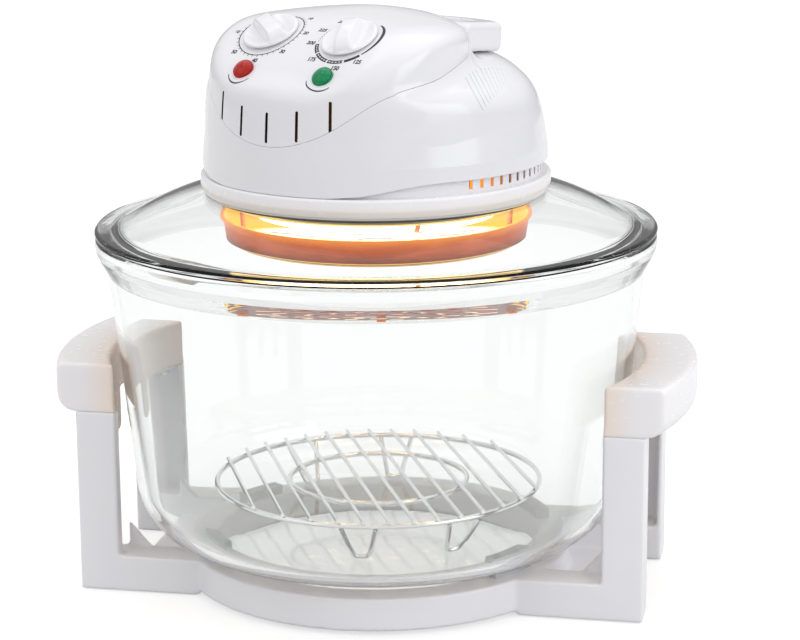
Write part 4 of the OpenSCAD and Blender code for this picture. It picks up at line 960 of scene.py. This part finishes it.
class OVEN_OT_bowl(bpy.types.Operator):
    """Glass bowl, turned with its rolled rim"""
    bl_idname = "oven.bowl"
    bl_label = "Bowl"

    def execute(self, context):
        flat_r, curve_r, thick = 107, 38, 5

        def curve(radius, start, end):
            return [(flat_r + radius * math.cos(a), curve_r + radius * math.sin(a), 0)
                    for a in np.radians(np.linspace(start, end, 14))]

        outline = [(0, 0, 0), (flat_r, 0, 0)] + curve(curve_r, -84, -6)
        outline += [(145, 38, 0), (158, 163, 3), (160.6, 167.4, 3), (162.9, 171.6, 4), (164.6, 176, 4),
                    (165, 179, 3), (164.6, 182.0, 1.2), (162.4, 183, 1.6), (155.6, 183, 1.8), (153.2, 180.5, 2),
                    (153, 171, 4), (153, 163, 6), (140, 38, 0)]
        outline += curve(curve_r - thick, -6, -84) + [(flat_r, thick, 0), (0, thick, 0)]
        bowl = lathe("turned_bowl", metres(rounded(outline, 4), BOWL_FOOT), 192, "bowl", "bowl_glass", closed=False)
        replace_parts(bowl, "glass_bowl")
        return {"FINISHED"}


class OVEN_OT_rack(bpy.types.Operator):
    """Wire rack: rings, cross wires and bent legs"""
    bl_idname = "oven.rack"
    bl_label = "Rack"

    def execute(self, context):
        tree = swept_tree("wire_sweep")
        rack_top = RACK_FOOT + 26
        turn = math.radians(23.5 - 90)

        def turned(points):
            c, s = math.cos(turn), math.sin(turn)
            return [((c * x - s * y) / 1000, (s * x + c * y) / 1000, z / 1000) for x, y, z in points]

        def ring(radius, z, count=120):
            return [(radius * math.cos(a), radius * math.sin(a), z)
                    for a in np.linspace(0, 2 * math.pi, count, endpoint=False)]

        rings = grown("ring_wires", lines_mesh("rings", [(turned(ring(r, rack_top)), True) for r in (97, 53.35)]),
                      tree, Radius=0.0016, Facets=14, Finish=FINISH["rack_chrome"])
        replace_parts(dress(rings, "rack", "rack_chrome"), "rack_rings")
        cross = []
        for i in range(-6, 7):
            y = i * 14
            half = math.sqrt(99 ** 2 - y * y)
            cross.append((turned([(-half, y, rack_top + 2.82), (half, y, rack_top + 2.82)]), False))
        wires = grown("cross_wires", lines_mesh("wires", cross), tree, Radius=0.0012, Facets=12,
                      Finish=FINISH["rack_chrome"])
        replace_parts(dress(wires, "rack", "rack_chrome"), "rack_wires")
        legs = []
        wire = 1.44
        top, foot = rack_top - 1.95, RACK_FOOT + wire + 0.15
        for base in (0, 180):
            for side in (-18.5, 18.5):
                turn_leg = math.radians(base + side)
                corners = [(97, 5.8, top), (84, 2.8, foot), (84, -2.8, foot), (97, -5.8, top)]
                path = []
                for radius, degrees, z in corners:
                    a = math.radians(degrees)
                    path.append(Vector((radius * math.cos(a), radius * math.sin(a), z)))
                bent = [path[0]]
                for i in (1, 2):
                    before = path[i].lerp(path[i - 1], 3.0 / (path[i - 1] - path[i]).length)
                    after = path[i].lerp(path[i + 1], min(3.0 / (path[i + 1] - path[i]).length, 0.48))
                    for u in np.linspace(0, 1, 7):
                        bent.append(before.lerp(path[i], u).lerp(path[i].lerp(after, u), u))
                bent.append(path[3])
                c, s = math.cos(turn_leg), math.sin(turn_leg)
                legs.append((turned([(c * p.x - s * p.y, s * p.x + c * p.y, p.z) for p in bent]), False))
        bent_legs = grown("leg_wires", lines_mesh("legs", legs), tree, Radius=wire / 1000, Facets=14,
                          Finish=FINISH["rack_chrome"])
        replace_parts(dress(bent_legs, "rack", "rack_chrome"), "rack_legs")
        return {"FINISHED"}


class OVEN_OT_lid(bpy.types.Operator):
    """Domed glass lid with its rolled rim and lip"""
    bl_idname = "oven.lid"
    bl_label = "Lid"

    def execute(self, context):
        top_in, land, crown, brim, thick = 153.0, 101.0, 24.2, 4.4, 5

        def arc(start_r, end_r, foot, rise, shares):
            bend = math.radians(82.8)
            return [(start_r + (end_r - start_r) * u, foot + rise * math.sin(bend * u) / math.sin(bend))
                    for u in shares]

        arch = arc(top_in, land, brim, crown - brim, np.linspace(0, 1, 26))
        under = arc(top_in - thick, land - 2, 0, crown - thick, np.linspace(1, 0, 26))
        outline = [(86, 19.2, 0.8), (under[0][0], under[0][1], 1.5)] + [(r, z, 0) for r, z in under[1:]]
        outline += [(148, -3, 0.8), (152.2, -3, 0.8), (152.2, 0, 0.5), (163.6, 0, 1.0), (165, 1.4, 1.0),
                    (165, 3.0, 1.2), (163.4, 4.4, 1.4), (155.4, 4.4, 2.0)]
        outline += [(r, z, 0) for r, z in arch[1:]] + [(86, 24.2, 0.8)]
        lid = lathe("turned_lid", metres(rounded(outline, 4), LID_FOOT), 192, "lid", "lid_glass")
        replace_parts(lid, "glass_lid")
        return {"FINISHED"}


class OVEN_OT_bezel(bpy.types.Operator):
    """Bezel ring with rounded edges"""
    bl_idname = "oven.bezel"
    bl_label = "Bezel"

    def execute(self, context):
        outline = [(86, 0, 0.4), (87.5, 0, 0.4), (87.5, 8, 0.8), (100, 8, 0.8), (100, 0, 0.5), (100.8, 0, 0.8),
                   (102.5, 3.8, 4.0), (102.5, 9.6, 1.4), (101.2, 10.5, 1.4), (74, 10.5, 0.5), (74, 8, 0.4),
                   (86, 8, 0.6)]
        ring = lathe("turned_bezel", metres(rounded(outline, 5), BEZEL_FOOT), 192, "lid", "bezel_plastic")
        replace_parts(ring, "bezel_ring")
        return {"FINISHED"}


class OVEN_OT_head(bpy.types.Operator):
    """Housing and control panel as one flowing skin with a seam between them"""
    bl_idname = "oven.head"
    bl_label = "Head"

    def execute(self, context):
        s = context.scene.oven_skin
        psi = np.linspace(-math.pi, math.pi, s.columns, endpoint=False)
        edge = edge_angle(psi, outside_panel, math.radians(89), math.radians(-15))
        skirt = edge_angle(psi, lambda p: skirt_height(p) - p[..., 2], math.radians(60), math.radians(-28))
        reach = np.linalg.norm(cast(ray(psi, edge)) - EYE, axis=-1)
        slit = s.seam * 1000 / reach

        wall = s.wall * 1000

        # The panel's rows run from its crown to the seam, the housing's from the seam to its skirt
        share = np.linspace(0.03, 1, 64)[:, None]
        phi = math.pi / 2 + (edge + slit / 2 - math.pi / 2) * share
        panel = shell_mesh("panel_skin", cast(ray(psi[None, :], phi)), wall, "lid", "panel_plastic", True)
        share = np.concatenate([[0, 0.006], np.linspace(0.02, 0.992, 122), [1.0]])[:, None]
        phi = (edge - slit / 2) + (skirt - edge + slit / 2) * share
        housing = shell_mesh("housing_skin", cast(ray(psi[None, :], phi)), wall, "lid", "head_plastic")
        cut(panel, self.slots())
        cut(housing, self.grooves(s))
        for skin in (panel, housing):
            self.smooth_normals(skin.data)
        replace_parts(panel, "control_panel")
        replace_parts(housing, "main_housing")
        return {"FINISHED"}

    @staticmethod
    def smooth_normals(mesh):
        """Gives the outer skin the normals of the smooth solid, so that cuts leave no creases in its shading."""
        def column(rows, name, width, kind=float):
            values = np.empty(len(rows) * width, dtype=kind)
            rows.foreach_get(name, values)
            return values

        x, y, z = column(mesh.vertices, "co", 3).reshape(-1, 3).T * 1000
        c, n = math.cos(LID_TURN), math.sin(LID_TURN)
        local = np.stack([c * x + n * y, c * y - n * x, z - HEAD_Z], -1)
        on_skin_now = np.abs(head_distance(local)) < 0.03
        x, y, z = head_normal(local).T
        normal = np.stack([c * x - n * y, n * x + c * y, z], -1)
        corner = column(mesh.loops, "vertex_index", 1, np.int64)
        corners = column(mesh.polygons, "loop_total", 1, np.int64)
        face = np.repeat(column(mesh.polygons, "normal", 3).reshape(-1, 3), corners, axis=0)
        wanted = normal[corner]
        keep = on_skin_now[corner] & ((wanted * face).sum(1) > 0.8)
        wanted[~keep] = 0.0
        mesh.normals_split_custom_set(wanted.tolist())

    @staticmethod
    def slots():
        """Five upright cutters with round ends for the nose; they carry the dark ink finish, which paints the walls
        of the slots dark as painted shade.
        """
        half, tall, corner, apart = 0.9, 17, 0.85, 11.3
        bm = bmesh.new()
        for i in range(-2, 3):
            turn = math.radians(i * apart)
            low = PANEL_EDGE_H + (2, 4, 10)[abs(i)]
            rim = rounded([(-half, low, corner), (half, low, corner), (half, low + tall, corner),
                           (-half, low + tall, corner)], 4)
            rings = []
            for depth in (-94.0, -106.0):
                ring = np.array([(u * math.cos(turn) - depth * math.sin(turn),
                                  u * math.sin(turn) + depth * math.cos(turn), v) for u, v in rim])
                rings.append([bm.verts.new(p) for p in to_world(ring)])
            count = len(rim)
            for k in range(count):
                bm.faces.new((rings[0][k], rings[0][(k + 1) % count], rings[1][(k + 1) % count], rings[1][k]))
            bm.faces.new(rings[0][::-1])
            bm.faces.new(rings[1])
        bmesh.ops.recalc_face_normals(bm, faces=bm.faces)
        mesh = bpy.data.meshes.new("slot_cutters")
        bm.to_mesh(mesh)
        bm.free()
        # The slots' walls take this dark ink from the cutters: painted shade.
        mesh.materials.append(FINISH["dial_ink"])
        return work_object("slot_cutters", mesh)

    @staticmethod
    def grooves(s):
        """Round cutters that follow slanted lines over the shoulder, each a little shallower than the last."""
        toward = np.array(GROOVE_FACING)
        runs = []
        for i, (top, foot) in enumerate(GROOVES):
            line = np.array(top) + (np.array(foot) - np.array(top)) * np.linspace(0, 1, 14)[:, None]
            skin = line + toward * skin_at(line, toward, -25.0, 25.0, 20)
            runs.append((to_world(skin + head_normal(skin) * (0.02 * i - 0.1)), False))
        cutters = grown("groove_cutters", lines_mesh("groove_lines", runs), swept_tree("groove_sweep"),
                        Radius=s.groove_width / 2, Facets=8, Finish=FINISH["head_plastic"])
        bpy.context.scene.collection.objects.link(cutters)
        return cutters


def panel_frame(x, y):
    """Point on the panel and its axes (across, up the panel, outwards), in the head's millimetres."""
    tilt = math.asin((PANEL_MID[0] - y) / PANEL_R)
    out = np.array([0.0, -math.sin(tilt), math.cos(tilt)])
    up = np.array([0.0, math.cos(tilt), math.sin(tilt)])
    at = np.array([x, PANEL_MID[0], PANEL_MID[1]]) + out * PANEL_R
    return at, np.array([1.0, 0, 0]), up, out


def on_skin(centre, flat, lift=0.07):
    """Lays flat points (across, up) about a centre of the panel onto the head's skin, in metres."""
    at, across, up, out = panel_frame(*centre)
    flat = np.asarray(flat, float)
    base = at + flat[..., :1] * across + flat[..., 1:2] * up
    return to_world(base + out * (skin_at(base, out, -14.0, 6.0, 22) + lift))


class OVEN_OT_printing(bpy.types.Operator):
    """Printed dials: rings, ticks and plain numbers"""
    bl_idname = "oven.printing"
    bl_label = "Printing"

    def execute(self, context):
        self.points, self.faces = [], []
        heat, timer = (KNOB_X, -KNOB_Y), (-KNOB_X, -KNOB_Y)
        # Thermostat: a ring that swells, one solid block, three ladders, and dots
        self.band(heat, 19.1, 20.0, -38, 60, grow=0.5)
        self.band(heat, 18.6, 20.6, -68, -41)
        for start, end in ((-100, -71), (-133, -103), (-160, -136)):
            self.band(heat, 18.4, 19.1, start, end)
            self.band(heat, 19.9, 20.7, start, end)
            for a in np.linspace(start, end - 4, 5):
                self.band(heat, 19.0, 20.0, a, a + 2.4)
        for a in range(-230, -166, 6):
            self.band(heat, 19.5, 19.8, a, a + 3)
        # Timer: a thin ring with ticks
        self.band(timer, 19.2, 19.75, -215, 80)
        for centre, radius, size, labels in (
                (heat, 24.0, 4.0, ((125, -48), (150, -80), (175, -128), (200, -165), (225, -195), (250, -225))),
                (timer, 23.6, 3.8, ((10, 50), (20, 5), (30, -40), (40, -82), (50, -128), (60, -175)))):
            for label, angle in labels:
                self.number(str(label), centre, angle, radius, size)
        # An arc under each lens
        for centre in ((-LENS_X, -LENS_Y), (LENS_X, -LENS_Y)):
            self.band(centre, 9.5, 9.9, -158, -38, grow=0.22)
        piece("dial_print", self.points, self.faces, "lid", "dial_ink", smooth=False)
        self.ticks(timer)
        return {"FINISHED"}

    def band(self, centre, inner, outer, start, end, grow=0.0):
        """Part of a printed ring; angles run counter-clockwise from the right."""
        count = max(2, int(abs(end - start) / 2.5))
        turn = np.radians(np.linspace(start, end, count + 1))
        wide = grow * np.sin(np.linspace(0, math.pi, count + 1))
        rows = [np.stack([r * np.cos(turn), r * np.sin(turn)], -1) for r in (inner - wide, outer + wide)]
        base = len(self.points)
        for row in rows:
            self.points += on_skin(centre, row).tolist()
        step = count + 1
        self.faces += [(base + k, base + step + k, base + step + k + 1, base + k + 1) for k in range(count)]

    def number(self, label, centre, angle, radius, size):
        """A bold number that stands upright beside a dial."""
        curve = bpy.data.curves.new("number", "FONT")
        curve.body, curve.size, curve.align_x, curve.align_y = label, size, "CENTER", "CENTER"
        curve.offset = 0.035 * size
        mesh = evaluated(work_object("number", curve), "number").data
        a = math.radians(angle)
        flat = [(v.co.x * 0.92 + radius * math.cos(a), v.co.y + radius * math.sin(a)) for v in mesh.vertices]
        base = len(self.points)
        self.points += on_skin(centre, flat).tolist()
        self.faces += [tuple(base + v for v in face.vertices) for face in mesh.polygons]
        bpy.data.meshes.remove(mesh)

    def ticks(self, centre):
        """Tick marks from geometry nodes, laid flat first and then onto the panel."""
        angles, radius = np.radians(np.arange(-205, 81, 9.5)), 20.3
        seed = bpy.data.meshes.new("tick_seed")
        seed.from_pydata([(radius * math.cos(a), radius * math.sin(a), 0) for a in angles], [], [])
        bars = grown("dial_ticks", seed, ticks_tree("tick_marks"), Length=1.3, Width=0.34,
                     Finish=FINISH["dial_ink"])
        flat = np.array([v.co[:2] for v in bars.data.vertices])
        for vertex, place in zip(bars.data.vertices, on_skin(centre, flat)):
            vertex.co = place
        dress(bars, "lid", "dial_ink", smooth=False)


class OVEN_OT_knobs(bpy.types.Operator):
    """Timer and thermostat knobs: a fat grip bar between two scoops"""
    bl_idname = "oven.knobs"
    bl_label = "Knobs"

    def execute(self, context):
        for name, node, body, x, turn in (
                ("timer_grip", "timer_knob", "timer_control", -KNOB_X, 55),
                ("thermostat_grip", "thermostat_knob", "thermostat_control", KNOB_X, 20)):
            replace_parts(self.knob(name, body, x, math.radians(turn)), node)
        return {"FINISHED"}

    @staticmethod
    def knob(name, body, x, turn):
        """Rings of points from the middle of the face over the rim to the middle of the back."""
        flat_r = KNOB_R - KNOB_RIM
        reach = np.concatenate([np.linspace(0.25, 1, 34) * flat_r,
                                flat_r + KNOB_RIM * np.sin(np.linspace(0.15, 1.57, 7))])
        angle = np.linspace(0, 2 * math.pi, KNOB_COLUMNS, endpoint=False)
        u, v = reach[:, None] * np.cos(angle), reach[:, None] * np.sin(angle)
        across = np.clip((6.8 - np.abs(u)) / 3.2, 0, 1)
        bar = 5.2 * across ** 2 * (3 - 2 * across) * np.clip(1 - np.abs(v / 15.4) ** 5, 0, 1)
        scoop = 1.5 * np.exp(-((np.abs(u) - 9.6) / 3.0) ** 2) * np.clip(1 - (v / 12.5) ** 2, 0, 1)
        over = np.clip((reach - flat_r) / KNOB_RIM, 0, 1)[:, None]
        face = 2.5 + bar - scoop - 1.4 * (1 - np.sqrt(1 - over ** 2 * 0.999))
        rows = [np.stack([u, v, face], -1)]
        for r, z in ((KNOB_R, 1.0), (16.2, KNOB_GAP), (4.0, KNOB_GAP)):
            rows.append(np.stack([r * np.cos(angle), r * np.sin(angle), np.full(KNOB_COLUMNS, z)], -1)[None])
        flat = np.concatenate(rows)
        at, right, up, out = panel_frame(x, -KNOB_Y)
        c, n = math.cos(turn), math.sin(turn)
        side, along = c * right + n * up, c * up - n * right
        points = at + flat[..., :1] * side + flat[..., 1:2] * along + flat[..., 2:] * out
        last = (len(flat) - 1) * KNOB_COLUMNS
        k = np.arange(KNOB_COLUMNS)
        m = (k + 1) % KNOB_COLUMNS
        faces = []
        for a in range(0, last, KNOB_COLUMNS):
            b = a + KNOB_COLUMNS
            faces += np.stack([a + k, b + k, b + m, a + m], 1).tolist()
        faces += [k.tolist(), (last + k[::-1]).tolist()]
        return piece(name, to_world(points).reshape(-1, 3), faces, body, "knob_plastic")


class OVEN_OT_handle(bpy.types.Operator):
    """Carry handle with soft edges"""
    bl_idname = "oven.handle"
    bl_label = "Handle"

    def execute(self, context):
        cell = 0.0008
        softened("carry_bail", "carry_handle", "handle", "handle_plastic", cell, 8, 0.6)
        return {"FINISHED"}


class OVEN_PT_panel(bpy.types.Panel):
    """The oven's settings and pieces"""
    bl_idname = "OVEN_PT_panel"
    bl_label = "Halogen Oven"
    bl_space_type = "VIEW_3D"
    bl_region_type = "UI"
    bl_category = "Halogen Oven"

    def draw(self, context):
        for group in (context.scene.oven_stage, context.scene.oven_skin, context.scene.oven_finish):
            box = self.layout.box()
            for name in group.bl_rna.properties.keys():
                if name not in {"rna_type", "name"}:
                    box.prop(group, name)
        for operator in OPERATORS:
            self.layout.operator(operator.bl_idname)


OPERATORS = (OVEN_OT_stage, OVEN_OT_finishes, OVEN_OT_stand, OVEN_OT_bowl, OVEN_OT_rack, OVEN_OT_lid,
             OVEN_OT_bezel, OVEN_OT_head, OVEN_OT_printing, OVEN_OT_knobs, OVEN_OT_handle)
GROUPS = (("oven_stage", StageSettings), ("oven_skin", SkinSettings), ("oven_finish", FinishSettings))


def register():
    for name, group in GROUPS:
        bpy.utils.register_class(group)
        setattr(bpy.types.Scene, name, bpy.props.PointerProperty(type=group))
    for operator in OPERATORS:
        bpy.utils.register_class(operator)
    bpy.utils.register_class(OVEN_PT_panel)


def unregister():
    bpy.utils.unregister_class(OVEN_PT_panel)
    for operator in reversed(OPERATORS):
        bpy.utils.unregister_class(operator)
    for name, group in reversed(GROUPS):
        delattr(bpy.types.Scene, name)
        bpy.utils.unregister_class(group)


def main():
    register()
    for operator in OPERATORS:
        area, name = operator.bl_idname.split(".")
        if getattr(getattr(bpy.ops, area), name)() != {"FINISHED"}:
            raise RuntimeError(f"{operator.bl_label} did not finish")


if __name__ == "__main__":
    main()
